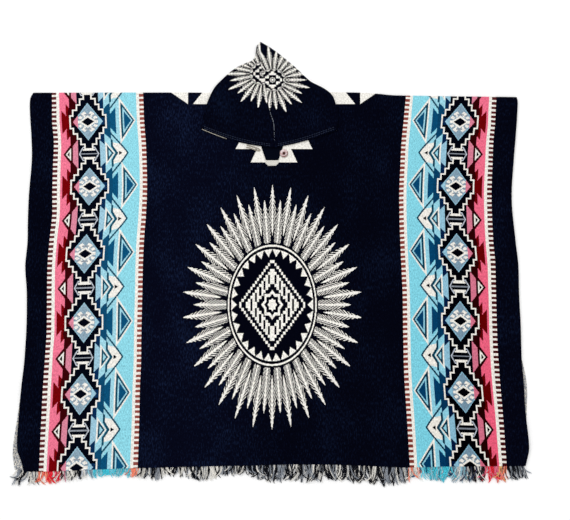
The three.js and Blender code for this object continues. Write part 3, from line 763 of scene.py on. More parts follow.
def yarn_grain(tree, snapped, exact, shade):
    """Varies a colour from thread to thread and in soft heather streaks along the warp."""
    grain = add(tree, "TexWhiteNoise", {"Vector": snapped}, noise_dimensions="2D")
    streak = streaks(tree, exact, 0.4, 0.2, 2.0)
    sum_up = add(tree, "Math MULTIPLY_ADD", grain, 0.3, streak)
    tone = add(tree, "Math MULTIPLY_ADD", sum_up, 0.95, 0.38)
    return add(tree, "VectorMath SCALE", {0: shade, "Scale": tone})


def ground(tree, palette, snapped, exact, with_painted_sheen):
    """Navy ground with sparse lighter flecks that run along the warp, and on the body a painted sheen that
    makes it paler on the left.
    """
    flecks = streaks(tree, snapped, 0.42, 0.11, 3.0)
    cloud = streaks(tree, exact, 0.012, 0.008, 1.0)
    both = add(tree, "Math MULTIPLY_ADD", cloud, 0.35, flecks)
    share = add(tree, "MapRange", {"Value": both, "From Min": 0.7, "From Max": 1.0})
    shade = cover(tree, palette["navy"], palette["fleck"], share)
    if not with_painted_sheen:
        return shade
    # Painted sheen: the ground is lit up to 1.7 times round one place on the left, fading out over its reach
    across = add(tree, "SeparateXYZ", exact)
    away = add(tree, "Math SUBTRACT", across, PAINTED_SHEEN_AT)
    aside = add(tree, "Math ABSOLUTE", away)
    limits = {"From Min": 40.0, "From Max": PAINTED_SHEEN_REACH, "To Min": 1.7, "To Max": 1.0}
    lift = add(tree, "MapRange", {"Value": aside, **limits}, interpolation_type="SMOOTHSTEP")
    return add(tree, "VectorMath SCALE", {0: shade, "Scale": lift})


def stepped_field(tree, across, row):
    """How far a point lies inside the stepped column: the widest of its blocks counts."""
    deepest = None
    for half, reach in STEPS:
        side = add(tree, "Math SUBTRACT", half, across)
        end = add(tree, "Math SUBTRACT", reach, row)
        inside = add(tree, "Math MINIMUM", side, end)
        deepest = inside if deepest is None else add(tree, "Math MAXIMUM", deepest, inside)
    return deepest


def band_masks(tree, out, down):
    """Where the band lies, and where the dashes of its two borders lie."""
    inner = add(tree, "Math GREATER_THAN", out, BAND[0])
    outer = add(tree, "Math LESS_THAN", out, BAND[1])
    band = add(tree, "Math MULTIPLY", inner, outer)
    centre = sum(BAND) / 2
    from_centre = add(tree, "Math SUBTRACT", out, centre)
    spread = add(tree, "Math ABSOLUTE", from_centre)
    edge = (BAND[1] - BAND[0]) / 2 - DASH_WIDTH
    border = add(tree, "Math GREATER_THAN", spread, edge)
    started = add(tree, "Math ADD", down, DASH_START)
    beat = add(tree, "Math FLOORED_MODULO", started, DASH_PERIOD)
    dashed = add(tree, "Math LESS_THAN", beat, DASH_PERIOD * DASH_SHARE)
    return band, add(tree, "Math MULTIPLY", border, dashed)


def spot_on_cloth(tree, snapped):
    """How far across a spot lies, how far from the centre, and how far down."""
    across = add(tree, "SeparateXYZ", snapped)
    down = add(tree, "Math MULTIPLY", across.node.outputs[1], -1.0)
    return across, add(tree, "Math ABSOLUTE", across), down


def side_band(tree, under, snapped, palette):
    """The woven side band over the ground colour."""
    across, aside, down = spot_on_cloth(tree, snapped)
    out = add(tree, "Math SUBTRACT", aside, BAND_MIDDLE)
    from_row = add(tree, "Math SUBTRACT", down, FIRST_ROW)
    row = add(tree, "Math PINGPONG", from_row, MID)
    spread = add(tree, "Math ABSOLUTE", out)
    point = add(tree, "CombineXYZ", out, row, 1.0)
    mirrored = add(tree, "CombineXYZ", spread, row, 1.0)
    band, dashes = band_masks(tree, out, down)
    dash = stamp(tree, palette["dash"], palette["dark_dash"], out)
    shade = cover(tree, palette["cream"], dash, dashes)
    shade = paint_shapes(tree, shade, point, BAND_SHAPES, palette, beyond_rows)
    shade = paint_shapes(tree, shade, mirrored, COLUMN_UNDER, palette, beyond_column)
    steps = stepped_field(tree, spread, row)
    shade = stamp(tree, shade, palette["cream"], steps, -STEP_LINE)
    shade = stamp(tree, shade, palette["black"], steps, STEP_LINE)
    for two_sided, one_sided in ((COLUMN_TINTS, COLUMN_OVER), (COLUMN_TIPS, COLUMN_OVER[2:])):
        shade = paint_shapes(tree, shade, point, two_sided, palette, beyond_rows)
        shade = paint_shapes(tree, shade, mirrored, one_sided, palette, beyond_column)
    # The band darkens with painted shade towards the right and the hem
    return cover(tree, under, paint_band_shade(tree, shade, across, down), band)


def paint_band_shade(tree, shade, across, down):
    """Darkens the colours with painted shade towards the right and the hem, by raising their gamma."""
    aside = add(tree, "MapRange", {"Value": across, "From Min": -BAND_MIDDLE, "From Max": BAND_MIDDLE})
    limits = {"From Max": PAINTED_SHADE_DEEPEST_AT, "To Min": PAINTED_SHADE_GAMMA[0], "To Max": PAINTED_SHADE_GAMMA[1]}
    lower = add(tree, "MapRange", {"Value": down, **limits})
    power = add(tree, "Math MULTIPLY_ADD", aside, lower, 1.0)
    return add(tree, "Gamma", {"Color": shade, "Gamma": power})


def neck_motif(tree, under, snapped, shade):
    """The stepped shapes at the neck and the shoulders, mirrored at the centre."""
    _, aside, down = spot_on_cloth(tree, snapped)
    point = add(tree, "CombineXYZ", aside, down, 1.0)
    shapes = [("motif", corners) for corners in NECK_SHAPES]
    return paint_shapes(tree, under, point, shapes, {"motif": shade}, beyond_centre)


def between(tree, value, low, high):
    """1 where the value lies between two limits."""
    middle, reach = (low + high) / 2, (high - low) / 2
    return add(tree, "Math COMPARE", value, middle, reach)


def sunburst(tree, under, snapped, dark, light, centre, size, rays, coarse, core):
    """A woven sun: pointed rays with barbed ribs, a toothed ring, and stepped diamonds round a star."""
    moved = add(tree, "VectorMath SUBTRACT", snapped, (centre[0], centre[1], 0))
    spot = add(tree, "VectorMath DIVIDE", moved, (size[0], size[1], 1))
    parts = add(tree, "SeparateXYZ", spot)
    far = add(tree, "VectorMath LENGTH", spot, out=1)
    angle = add(tree, "Math ARCTAN2", parts.node.outputs[1], parts)
    hatch_step = 0.034 * coarse
    slope = -(1.25 + 0.45 * coarse)
    shade = under

    # Two tiers of pointed rays, the back ones between the front ones, each dark edged and barbed
    for tip, shift in ((1.0, 0.5), (0.88, 0.0)):
        turned = add(tree, "Math MULTIPLY_ADD", angle, rays / math.tau, shift)
        wing = add(tree, "Math PINGPONG", turned, 0.5)
        edge = add(tree, "Math MULTIPLY_ADD", wing, slope * (tip - core), tip)
        inside = add(tree, "Math SUBTRACT", edge, far)
        shade = stamp(tree, shade, dark, inside)
        barb = add(tree, "Math MULTIPLY_ADD", wing, 0.28, far)
        hatch = add(tree, "Math FLOORED_MODULO", barb, hatch_step)
        light_barb = add(tree, "Math GREATER_THAN", hatch, hatch_step * 0.58)
        near_rib = add(tree, "Math LESS_THAN", wing, 0.33 - 0.12 * (coarse - 1))
        barbs = add(tree, "Math MULTIPLY", light_barb, near_rib)
        rib = add(tree, "Math LESS_THAN", wing, 0.06)
        inked = add(tree, "Math MAXIMUM", barbs, rib)
        within = add(tree, "Math GREATER_THAN", inside, 0.02 * coarse ** 2)
        shade = cover(tree, shade, light, add(tree, "Math MULTIPLY", inked, within))

    # A dark disc with a toothed ring
    disc = add(tree, "Math LESS_THAN", far, core)
    shade = cover(tree, shade, dark, disc)
    shade = cover(tree, shade, light, between(tree, far, core * 0.94, core * 0.97))
    teeth_turn = add(tree, "Math MULTIPLY", angle, rays / math.tau)
    teeth = add(tree, "Math PINGPONG", teeth_turn, 0.5)
    tooth_edge = add(tree, "Math MULTIPLY_ADD", teeth, core * 0.26, core * 0.77)
    above = add(tree, "Math GREATER_THAN", far, tooth_edge)
    below = add(tree, "Math LESS_THAN", far, core * 0.895)
    toothed = add(tree, "Math MULTIPLY", above, below)
    shade = cover(tree, shade, light, toothed)

    # Stepped diamonds of small cells, counted from the centre: an outline, and a hatched band inside it
    folded = add(tree, "VectorMath ABSOLUTE", spot)
    cell = 0.024 * coarse
    divided = add(tree, "VectorMath DIVIDE", folded, (cell, cell, 1))
    cells = add(tree, "SeparateXYZ", add(tree, "VectorMath FLOOR", divided))
    reach = add(tree, "Math ADD", cells, cells.node.outputs[1])
    last = round(0.7 * core / cell)
    odd = add(tree, "Math FLOORED_MODULO", cells, 2.0)
    for low, high in ((last - 1.5, last - 0.5), (0.45 * last, 0.75 * last)):
        shade = cover(tree, shade, light, between(tree, reach, low, high))
    hatched = add(tree, "Math MULTIPLY", odd, between(tree, reach, 0.52 * last, 0.68 * last))
    shade = cover(tree, shade, dark, hatched)

    # An eight-pointed star at the centre: a square over a diamond
    flat = add(tree, "SeparateXYZ", folded)
    high = flat.node.outputs[1]
    square = add(tree, "Math MAXIMUM", flat, high)
    slanted = add(tree, "Math ADD", flat, high)
    diamond = add(tree, "Math MULTIPLY", slanted, 0.707)
    star = add(tree, "Math MINIMUM", square, diamond)
    for share, tone in ((0.17, light), (0.125, dark), (0.075, light)):
        inner = add(tree, "Math LESS_THAN", star, core * share)
        shade = cover(tree, shade, tone, inner)
    return shade


def face_cloth(name, on_body, burst):
    """Acrylic blanket cloth, jacquard woven on a navy ground, matt with a faint nap: with coloured bands on
    the body, and on the hood cut through a sunburst so that its rays don't meet at the seam."""
    material, tree = new_material(name, FACE_FINISH)
    palette = get_palette()
    exact, snapped = woven_place(tree)
    shade = ground(tree, palette, snapped, exact, on_body)
    if on_body:
        shade = neck_motif(tree, shade, snapped, palette["cream"])
        shade = side_band(tree, shade, snapped, palette)
    shade = sunburst(tree, shade, snapped, palette["navy"], palette["cream"], **burst)
    dye(tree, yarn_grain(tree, snapped, exact, shade), weave_relief(tree, exact))
    return material


def reverse_cloth():
    """The back of the same cloth: floats of cream and grey yarn with dark specks, the motif turned dark,
    which through the neck slit also serves as painted shade.
    """
    finish = {"Roughness": 0.95, "Specular IOR Level": 0.03}
    material, tree = new_material(REVERSE, finish)
    palette = get_palette()
    exact, snapped = woven_place(tree)
    floats = streaks(tree, snapped, 0.5, 0.14, 3.0)
    share = add(tree, "MapRange", {"Value": floats, "From Min": 0.42, "From Max": 0.62})
    shade = cover(tree, palette["line_grey"], palette["reverse"], share)
    specks = add(tree, "TexWhiteNoise", {"Vector": snapped}, noise_dimensions="2D")
    shade = stamp(tree, shade, palette["fleck"], specks, 0.86)
    # The neck motif is black on the reverse; seen through the neck slit it also stands for the shade inside
    # the slit, as painted shade
    shade = neck_motif(tree, shade, snapped, palette["black"])
    dye(tree, shade, weave_relief(tree, exact), depth=0.4)
    return material


def thread_material(name, colour_name):
    """Spun sewing thread or cord: one colour, with painted shade between its plies."""
    material, tree = new_material(name, {"Roughness": 0.8, "Specular IOR Level": 0.2})
    spot = add(tree, "TexCoord", out=3)
    wave = {"Vector": spot, "Scale": PLY_SCALE, "Distortion": 2.0}
    plies = add(tree, "TexWave", wave, out=1, bands_direction="DIAGONAL")
    # The plies' waves darken the colour between them as painted shade
    tone = add(tree, "Math MULTIPLY_ADD", plies, 0.3, 0.72)
    base = get_palette()[colour_name]
    dye(tree, add(tree, "VectorMath SCALE", {0: base[:3], "Scale": tone}), plies, 0.4, 0.2)
    return material


def yarn_material():
    """Loose acrylic warp ends: each yarn's own dye, with lighter fuzz and painted shade in its hollows."""
    finish = {"Roughness": 0.9, "Specular IOR Level": 0.1, "Sheen Weight": 0.05}
    material, tree = new_material("acrylic warp yarn, two ply", finish)
    dyed = add(tree, "Attribute", attribute_name="yarn")
    spot = add(tree, "TexCoord", out=3)
    fuzz = add(tree, "TexNoise", {"Vector": spot, "Scale": 420.0, "Detail": 2.0})
    limits = {"From Min": 0.3, "From Max": 0.7, "To Min": 0.68, "To Max": 1.12}
    # Noise makes the dye lighter for fuzz and darker as painted shade in the hollows
    tone = add(tree, "MapRange", {"Value": fuzz, **limits})
    dye(tree, add(tree, "VectorMath SCALE", {0: dyed, "Scale": tone}), fuzz, 0.5, 0.3)
    return material


def shell_material():
    """Moulded polyester button: pinkish and pearly, with cloudy swirls, brown in its dish, and with painted
    shade at the rim away from a painted lit side at the upper left.
    """
    material, tree = new_material("polyester button, moulded pearl", {"Roughness": 0.28, "Coat Weight": 0.4})
    spot = add(tree, "TexCoord", out=3)
    swirl = add(tree, "TexNoise", {"Vector": spot, "Scale": 150.0, "Detail": 2.0, "Distortion": 1.5})
    share = add(tree, "MapRange", {"Value": swirl, "From Min": 0.35, "From Max": 0.65})
    colours = get_palette()
    shade = cover(tree, colours["shell"], linear(PEARL), share)
    low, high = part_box("button")
    centre = (low + high) / 2
    # A painted lit side, up and to the left of the middle
    painted_lit_side = centre + Vector((-2.2, 2.6, 0)) * MM

    # Brown fades out from the middle of the dish, and painted shade comes in along the rim far from the
    # painted lit side
    brown_and_painted_shade = ((centre, 2.6, 6.2, 0.8, 0.0), (painted_lit_side, 8.0, 11.0, 0.0, 0.85))
    for start, near, far, inner, outer in brown_and_painted_shade:
        away = add(tree, "VectorMath DISTANCE", spot, tuple(start), out=1)
        limits = {"From Min": near * MM, "From Max": far * MM, "To Min": inner, "To Max": outer}
        brown = add(tree, "MapRange", {"Value": away, **limits})
        shade = cover(tree, shade, colours["shell_middle"], brown)
    dye(tree, shade)
    return material


class PONCHO_OT_front_cloth(bpy.types.Operator):
    """Makes the front cloth with its shoulder fold, and cuts the neck hole and slit"""
    bl_idname = "poncho.front_cloth"
    bl_label = "Front cloth"

    def execute(self, context):
        net, spots = front_net(context.scene.poncho_sizes.grid / MM)
        materials = [face_cloth(FACE, True, FRONT_BURST), reverse_cloth()]
        cloth = cloth_wall("front_cloth", net, spots, materials)
        cutter = neck_cutter(materials[0])
        pick(cloth)
        cut = cloth.modifiers.new("neck", "BOOLEAN")
        cut.object = cutter
        cut.solver = "EXACT"
        bpy.ops.object.modifier_apply(modifier=cut.name)
        bpy.data.objects.remove(cutter)
        smooth(cloth, 50)
        finish_piece(cloth, "blanket_cloth", "front_panel")
        return {"FINISHED"}


def fold_radius(x):
    return mix(PRESSED_RADIUS, FOLD_RADIUS, ease(abs(x), PRESSED_TO, FREE_FROM))


def band_stations(outer, column, inner):
    """Where the threads of one band lie, from its outer line inwards, as (woven, laid)."""
    stations = [(BAND_MIDDLE + BAND[1], outer), (BAND_MIDDLE, column)]
    for distance, shift in INNER_SHIFTS:
        stations.append((BAND_MIDDLE - distance, mix(column, inner, -distance / BAND[0]) - shift))
    return stations + [(BAND_MIDDLE + BAND[0], inner), (PLAIN, PLAIN)]


def front_x(u, down):
    """Where a warp thread lies across the garment, so that the bands run as they are laid."""
    left, right = read_row(FRONT_EDGES, down)
    lines = read_row(BAND_LINES, down)
    stations = [(-SIDE, -left)] + [(-woven, -laid) for woven, laid in band_stations(*lines[:3])]
    stations += band_stations(*lines[:2:-1])[::-1] + [(SIDE, right)]
    for (from_u, from_x), (to_u, to_x) in zip(stations, stations[1:]):
        if u <= to_u:
            return mix(from_x, to_x, (u - from_u) / (to_u - from_u))
    return right


def woven_at(x, down):
    """How far down the cloth was woven that lies this far down: the rows lie askew and bow a little."""
    rows = LEFT_ROWS if x < 0 else RIGHT_ROWS
    in_band = read_table(rows, 1, down - SKEW * (abs(x) - BAND_MIDDLE))
    return mix(down, in_band, ease(abs(x), *ASKEW))


def front_net(grid):
    """Middle points of the front cloth and where each was woven, from its lip under the shoulder."""
    columns, rows = round(2 * SIDE / grid), round(FRONT_LENGTH / grid)
    across = [-SIDE + 2 * SIDE * j / columns for j in range(columns + 1)]
    net, spots = [], []

    def add_row(place_at):
        row, row_spots = [], []
        for u in across:
            x, y, z, down = u, 0, 0, 0
            for _ in range(3):
                y, z, down = place_at(x, fold_y(x), fold_radius(x))
                x = front_x(u, -y)
            row.append(Vector((x, y, z)))
            row_spots.append((u, -woven_at(x, down)))
        net.append(row)
        spots.append(row_spots)

    def lip(x, fold, radius):
        return fold - LIP, HALF, radius + HALF - fold - math.pi * radius - LIP

    add_row(lip)
    for angle in range(-90, 91, 18):
        turn = math.radians(angle)

        def bend(x, fold, radius):
            y = fold - radius - HALF + radius * math.cos(turn)
            z = HALF + radius + radius * math.sin(turn)
            return y, z, radius + HALF - fold - radius * (math.pi / 2 - turn)

        add_row(bend)
    for i in range(1, rows + 1):

        def upper(x, fold, radius):
            y = mix(fold - radius - HALF, hem_y(x), i / rows)
            above = 2 * radius + HALF - FRONT_MID
            sink = math.exp(-(((fold - radius - HALF - y) / FOLD_SETTLE) ** 2) / 2)
            return y, FRONT_MID + above * sink + front_rise(x, -y) + front_ripple(x, -y), -y

        add_row(upper)
    return net, spots


def neck_cutter(material):
    """A block of the neck hole's outline, from below the front cloth to above it, to be cut out of it."""
    mouth = NECK_DEPTH - 3
    steps = 14
    left = []
    for i in range(1, steps):
        turn = i / steps * math.pi / 2
        if NECK_DEPTH * math.sin(turn) < mouth:
            left.append((-NECK_HALF * math.cos(turn), -NECK_DEPTH * math.sin(turn)))
    outline = [(NECK_HALF, 20), (-NECK_HALF, 20), (-NECK_HALF, 0)] + left
    outline += [(SLIT_TOP[0], -mouth)] + slit_path() + [(SLIT_TOP[1], -mouth)]
    outline += [(-x, y) for x, y in reversed(left)] + [(NECK_HALF, 0)]
    count = len(outline)
    points = [(x, y, z) for z in (-10, 40) for x, y in outline]
    faces = [tuple(range(count))[::-1], tuple(range(count, 2 * count))]
    for k in range(count):
        after = (k + 1) % count
        faces.append((k, after, count + after, count + k))
    made = add_mesh("neck_cutter", points, faces, [CUT_SPOT] * (2 * count), [material])
    pick(made)
    bpy.ops.object.mode_set(mode="EDIT")
    bpy.ops.mesh.select_all(action="SELECT")
    bpy.ops.mesh.normals_make_consistent(inside=False)
    bpy.ops.object.mode_set(mode="OBJECT")
    return made


def slit_path():
    """The cut edge of the slit, down its left side, round its foot and up its right side."""
    sides = []
    for top, corner, sign in ((SLIT_TOP[0], SLIT_END[0], 1), (SLIT_TOP[1], SLIT_END[1], -1)):
        side = [(top, -SLIT_FOOT + SLIT_SPREAD), (corner, -SLIT_FOOT + SLIT_CORNER)]
        for turn in (math.radians(angle) for angle in (30, 60, 90)):
            x = corner + sign * SLIT_CORNER * (1 - math.cos(turn))
            side.append((x, -SLIT_FOOT + SLIT_CORNER * (1 - math.sin(turn))))
        sides.append(side)
    return sides[0] + sides[1][::-1]


class PONCHO_OT_back_cloth(bpy.types.Operator):
    """Makes the back cloth, face down on the floor"""
    bl_idname = "poncho.back_cloth"
    bl_label = "Back cloth"

    def execute(self, context):
        net, spots = back_net(context.scene.poncho_sizes.back_grid / MM)
        materials = [bpy.data.materials[name] for name in (REVERSE, FACE)]
        cloth = cloth_wall("back_cloth", net, spots, materials)
        smooth(cloth, 50)
        finish_piece(cloth, "blanket_cloth", "back_panel")
        return {"FINISHED"}


def back_net(grid):
    """Middle points of the back cloth, whose tongue fills the back of the neck hole. Away from the neck it
    is woven some repeats further on, with the same bands and no picture."""
    columns, rows = round(2 * SIDE / grid), round(BACK_LENGTH / grid)
    net, spots = [], []
    for i in range(rows + 1):
        share = i / rows
        row, row_spots = [], []
        for j in range(columns + 1):
            x = u = -SIDE + 2 * SIDE * j / columns
            for _ in range(2):
                top = -BACK_NECK if abs(x) < TONGUE_HALF else fold_y(x) - LIP - 2 * CLEAR
                y = mix(top, hem_y(x) + BACK_SHORTER, share)
                x = u / SIDE * read_table(BACK_EDGES, 1 if u < 0 else 2, -y)
            row.append(Vector((x, y, HALF)))
            shown = abs(u) < BACK_SHOWN and y > -BACK_SHOWN
            row_spots.append((u, y if shown else y - BACK_START))
        net.append(row)
        spots.append(row_spots)
    return net, spots


class PONCHO_OT_hood(bpy.types.Operator):
    """Makes the two halves of the hood"""
    bl_idname = "poncho.hood"
    bl_label = "Hood halves"

    def execute(self, context):
        face = face_cloth("acrylic blanket cloth, hood", False, HOOD_BURST)
        materials = [face, bpy.data.materials[REVERSE]]
        for sign, side in ((-1, "left"), (1, "right")):
            net, shares, spots = hood_net(sign)

            def outward(rows, i, j):
                normal = net_normal(rows, i, j) * -sign
                if j == 0:
                    return Vector((0, 0, 1))
                if j == len(rows[0]) - 1:
                    return Vector((0, 0, -1))
                if i == len(rows) - 1:
                    return Vector((0, normal.y, normal.z)).normalized()
                return normal

            def outer(i, j):
                turned = 1 - ease(shares[i], HEM_SHARE, HEM_SHARE + HEM_TURN)
                return HALF + (HEM_EXTRA * turned if j <= HOOD_UPPER else 0)

            cloth = cloth_wall("hood_cloth_" + side, net, spots, materials, outward, outer)
            smooth(cloth, 55)
            finish_piece(cloth, "blanket_cloth", "hood_" + side)
        return {"FINISHED"}


def under_end(sign, share):
    """Where the lower layer of a hood half ends: at the neck hole, the back neckline or the seam."""
    half = NECK_HALF + 2
    if share <= NECK_SEAM_SHARE:
        turn = math.radians(70) * (1 - share / NECK_SEAM_SHARE)
        return sign * half * math.cos(turn), BACK_NECK - (NECK_DEPTH + 2) * math.sin(turn)
    if share <= BACK_NECK_SHARE:
        along = (share - NECK_SEAM_SHARE) / (BACK_NECK_SHARE - NECK_SEAM_SHARE)
        return sign * mix(half, 0, along), BACK_NECK
    up = (share - BACK_NECK_SHARE) / (1 - BACK_NECK_SHARE)
    top = CENTRE_SEAM[-1]
    return top[1] * ease(up, 0, 0.7), mix(BACK_NECK, top[2], up)


def under_height(x, y):
    """Middle of the lower layer: on the front cloth below the fold, on the floor beyond it."""
    past = 1 - ease(y, UNDER_DROP[0], UNDER_DROP[1])
    beside = 1 if y < 0 else ease(abs(x), UNDER_STEP[0], UNDER_STEP[1])
    return HALF + (FRONT_TOP + CLEAR) * past * beside


def hood_section(sign, share):
    """One section of a hood half: from the centre seam over the upper layer, round the rim and back under
    it, with the place where each point was woven."""
    rim = LEFT_RIM if sign < 0 else RIGHT_RIM
    hem_bow = HEM_BOW[0 if sign < 0 else 1]
    edge = Vector(read_row(rim, share))
    seam = Vector(read_row(CENTRE_SEAM, share))
    end = Vector(under_end(sign, share))
    inwards = ((seam + end) / 2 - edge).normalized() if share < 1 else Vector((0, -1))
    low = under_height(edge.x, edge.y)
    high = read_table(HOOD_HEIGHT, 1, edge.y)
    radius = (high - low) / 2
    centre = edge + inwards * (radius + HALF)
    section, spots = [], []
    for k in range(HOOD_UPPER + 1):
        f = k / HOOD_UPPER
        x = mix(seam.x, centre.x, f)
        y = mix(seam.y, centre.y, f) - hem_bow * math.sin(math.pi * f) * (1 - share) ** 6
        z = mix(read_table(HOOD_HEIGHT, 1, y), high, f ** 4)
        z += ridges_at(HOOD_CREASES, x, y) * ease(share, 0.03, 0.12) * (1 - ease(f, 0.86, 1))
        section.append(Vector((x, y, z)))
        spots.append((x, y))
    around = 0
    for k in range(HOOD_BEND):
        turn = math.pi / 2 - math.pi * (k + 1) / (HOOD_BEND + 1)
        out = -radius * math.cos(turn)
        spot = centre + inwards * out
        section.append(Vector((spot.x, spot.y, low + radius + radius * math.sin(turn))))
        around += math.pi * radius / (HOOD_BEND + 1)
        spots.append((centre.x - inwards.x * around, centre.y - inwards.y * around))
    for k in range(HOOD_UNDER + 1):
        f = k / HOOD_UNDER
        x, y = mix(centre.x, end.x, f), mix(centre.y, end.y, f)
        section.append(Vector((x, y, mix(low, under_height(x, y), f ** 0.3))))
        far = around + math.hypot(end.x - centre.x, end.y - centre.y) * f
        spots.append((centre.x - inwards.x * far, centre.y - inwards.y * far))
    if share == 1:
        for point in section:
            point.x = seam.x + sign * CLEAR / 2
    else:
        section[0].x += sign * CLEAR / 2
        if share >= BACK_NECK_SHARE:
            section[-1].x = end.x + sign * CLEAR / 2
    return section, spots


def hood_net(sign):
    """Sections of one hood half, closer at the hem and at the point. The pattern is cut off at the seam."""
    shares = [0, 0.01, 0.02, 0.032, HEM_SHARE, HEM_SHARE + HEM_TURN]
    shares += [mix(0.07, 1, i / HOOD_ROWS) for i in range(HOOD_ROWS + 1)]
    net, spots = [], []
    slip = PATTERN_SLIP[0 if sign < 0 else 1]
    for share in shares:
        section, places = hood_section(sign, share)
        net.append(section)
        spots.append([(x + slip[0], y + slip[1]) for x, y in places])
    return net, shares, spots


def hood_top(x, y):
    """Height of the outer face of the hood's upper layer near its middle."""
    return read_table(HOOD_HEIGHT, 1, y) + HALF + ridges_at(HOOD_CREASES, x, y)


class PONCHO_OT_hood_sewing(bpy.types.Operator):
    """Sews the hood: stitches across the centre seam and two rows of topstitching along the hem"""
    bl_idname = "poncho.hood_sewing"
    bl_label = "Hood sewing"

    def execute(self, context):
        sizes = context.scene.poncho_sizes
        stitch, radius = sizes.stitch / MM, sizes.stitch_radius / MM
        tubes = []
        for k in range(SEAM_STITCHES):
            if noise.noise(Vector((k * 0.9, 3.1, 0))) < -0.12:
                continue
            share = SEAM_FROM + SEAM_PITCH * k
            x, y = read_row(CENTRE_SEAM, share)
            z = hood_top(x, y) + radius * 0.2
            thick = radius * mix(0.45, 1.3, k / SEAM_STITCHES)
            tubes.append(stitch_tube((x - 0.5, y - stitch * 0.3, z), (x + 0.5, y + stitch * 0.3, z), thick))
        sew("hood_seam_stitches", tubes, thread_material("polyester thread, grey", "line_grey"))

        tubes = []
        for sign in (-1, 1):
            for share in STITCH_ROWS:
                tubes += hem_stitches(sign, share, stitch, radius)
        sew("hood_hem_stitches", tubes, thread_material("polyester thread, slate", "slate"))

        # A pale strand under the hem at its left corner only: the overlocked edge peeping out, and a painted
        # highlight of the hem's edge catching light
        corner = hood_section(-1, 0)[0][OVERLOCK_HIGHLIGHT_FROM:HOOD_UPPER + 1]
        path = [(p.x, p.y - 0.7, p.z - 0.2) for p in corner]
        strand = tube(path, [0.2] + [0.65] * (len(path) - 2) + [0.4])
        sew("hood_hem_edge", [strand], thread_material("overlock thread, cream", "reverse"))
        return {"FINISHED"}


def stitch_tube(start, end, radius):
    """One stitch: a short thread that dips into the cloth at both ends."""
    start, end = Vector(start), Vector(end)
    down = Vector((0, 0, radius * 1.1))
    points = [start - down, start + (end - start) * 0.2, start + (end - start) * 0.8, end - down]
    return tube(points, [radius * 0.6, radius, radius, radius * 0.6])


def hem_stitches(sign, share, stitch, radius):
    """A row of stitches along the hem of one hood half, at one share of its sections."""
    section, _ = hood_section(sign, share)
    upper = section[1:HOOD_UPPER]
    tubes = []
    pitch = stitch * 1.45
    run = pitch * 0.5
    for a, b in zip(upper, upper[1:]):
        span = (b - a).length
        while run < span:
            start = a + (b - a) * (run / span)
            end = start + (b - a).normalized() * stitch
            lift = Vector((0, 0, HALF + HEM_EXTRA + radius * 0.35))
            tubes.append(stitch_tube(start + lift, end + lift, radius))
            run += pitch
        run -= span
    return tubes


class PONCHO_OT_fringe(bpy.types.Operator):
    """Makes the loose warp ends of both hems"""
    bl_idname = "poncho.fringe"
    bl_label = "Fringe"

    def execute(self, context):
        sizes = context.scene.poncho_sizes
        material = yarn_material()
        front = fringe_yarns(
            "front_yarns", sizes.yarns, material, 11,
            edge=hem_y, middle=lambda x: FRONT_MID + front_rise(x, -hem_y(x)), left=594, right=584,
            share=1, vary=4, drop=1.6,
        )
        finish_piece(front, "warp_yarn", "front_fringe")
        back = fringe_yarns(
            "back_yarns", round(sizes.yarns * 0.6), material, 23,
            edge=lambda x: hem_y(x) + BACK_SHORTER, middle=lambda x: HALF, left=597, right=580,
            share=BACK_REACH, vary=3, drop=0.9,
        )
        finish_piece(back, "warp_yarn", "back_fringe")
        return {"FINISHED"}


def stripe_colour(x, draw, palette):
    """The dye of a warp end: it carries on the stripe that it comes from."""
    rows = LEFT_STRIPES if x < 0 else RIGHT_STRIPES
    names = rows[0][1]
    for start, choices in rows:
        if abs(x) >= start:
            names = choices
    shade = palette[draw.choice(names)]
    tone = draw.uniform(0.8, 1.12)
    return tuple(c * tone for c in shade[:3]) + (1.0,)


def fringe_yarns(name, count, material, seed, edge, middle, left, right, share, vary, drop):
    """Yarns of two twisted plies from one hem, in small locks of one colour that lean and cross."""
    draw = random.Random(seed)
    palette = get_palette()
    ply = bpy.context.scene.poncho_sizes.yarn_radius / MM
    tubes, colours = [], []
    for n in range(count):
        x = mix(-left, right, (n + draw.uniform(0.1, 0.9)) / count)
        if n % LOCK == 0:
            shade = stripe_colour(x, draw, palette)
            lean, curl, extra = draw.uniform(-0.3, 0.3), draw.uniform(-0.6, 0.6), draw.uniform(-vary, vary)
        sweep = noise.noise(Vector((x / 22, seed, 0)))
        splay = math.copysign(0.55 * (max(abs(x) - SPLAY_FROM, 0) / SPLAY_REACH) ** 2, x)
        heading = splay + 0.5 * sweep + lean + draw.uniform(-0.07, 0.07)
        long = share * read_table(FRINGE_REACH, 1, x) + extra + draw.uniform(-2, 2)
        wave = draw.uniform(0.4, 1.1)
        start_z, start_y = middle(x), edge(x)
        low = drop + draw.uniform(0, 2.6) * (start_z / FRONT_MID)
        points = []
        for k in range(YARN_STATIONS):
            f = k / (YARN_STATIONS - 1)
            turn = heading + curl * f * f
            side = math.sin(turn) * long * f
            y = start_y + ROOT - math.cos(turn) * (long + ROOT) * f
            z = mix(start_z, low, ease(f, 0.05, 0.95))
            points.append((x + side + wave * math.sin(6 * f + n), y, z))
        radii = [ply * (1.25 - 0.2 * (k % 2)) for k in range(YARN_STATIONS)]
        radii[-1] *= 0.55
        tubes.append(tube(points, radii, 5, 0.7))
        colours.append(shade)
    return join_tubes(name, tubes, material, colours)


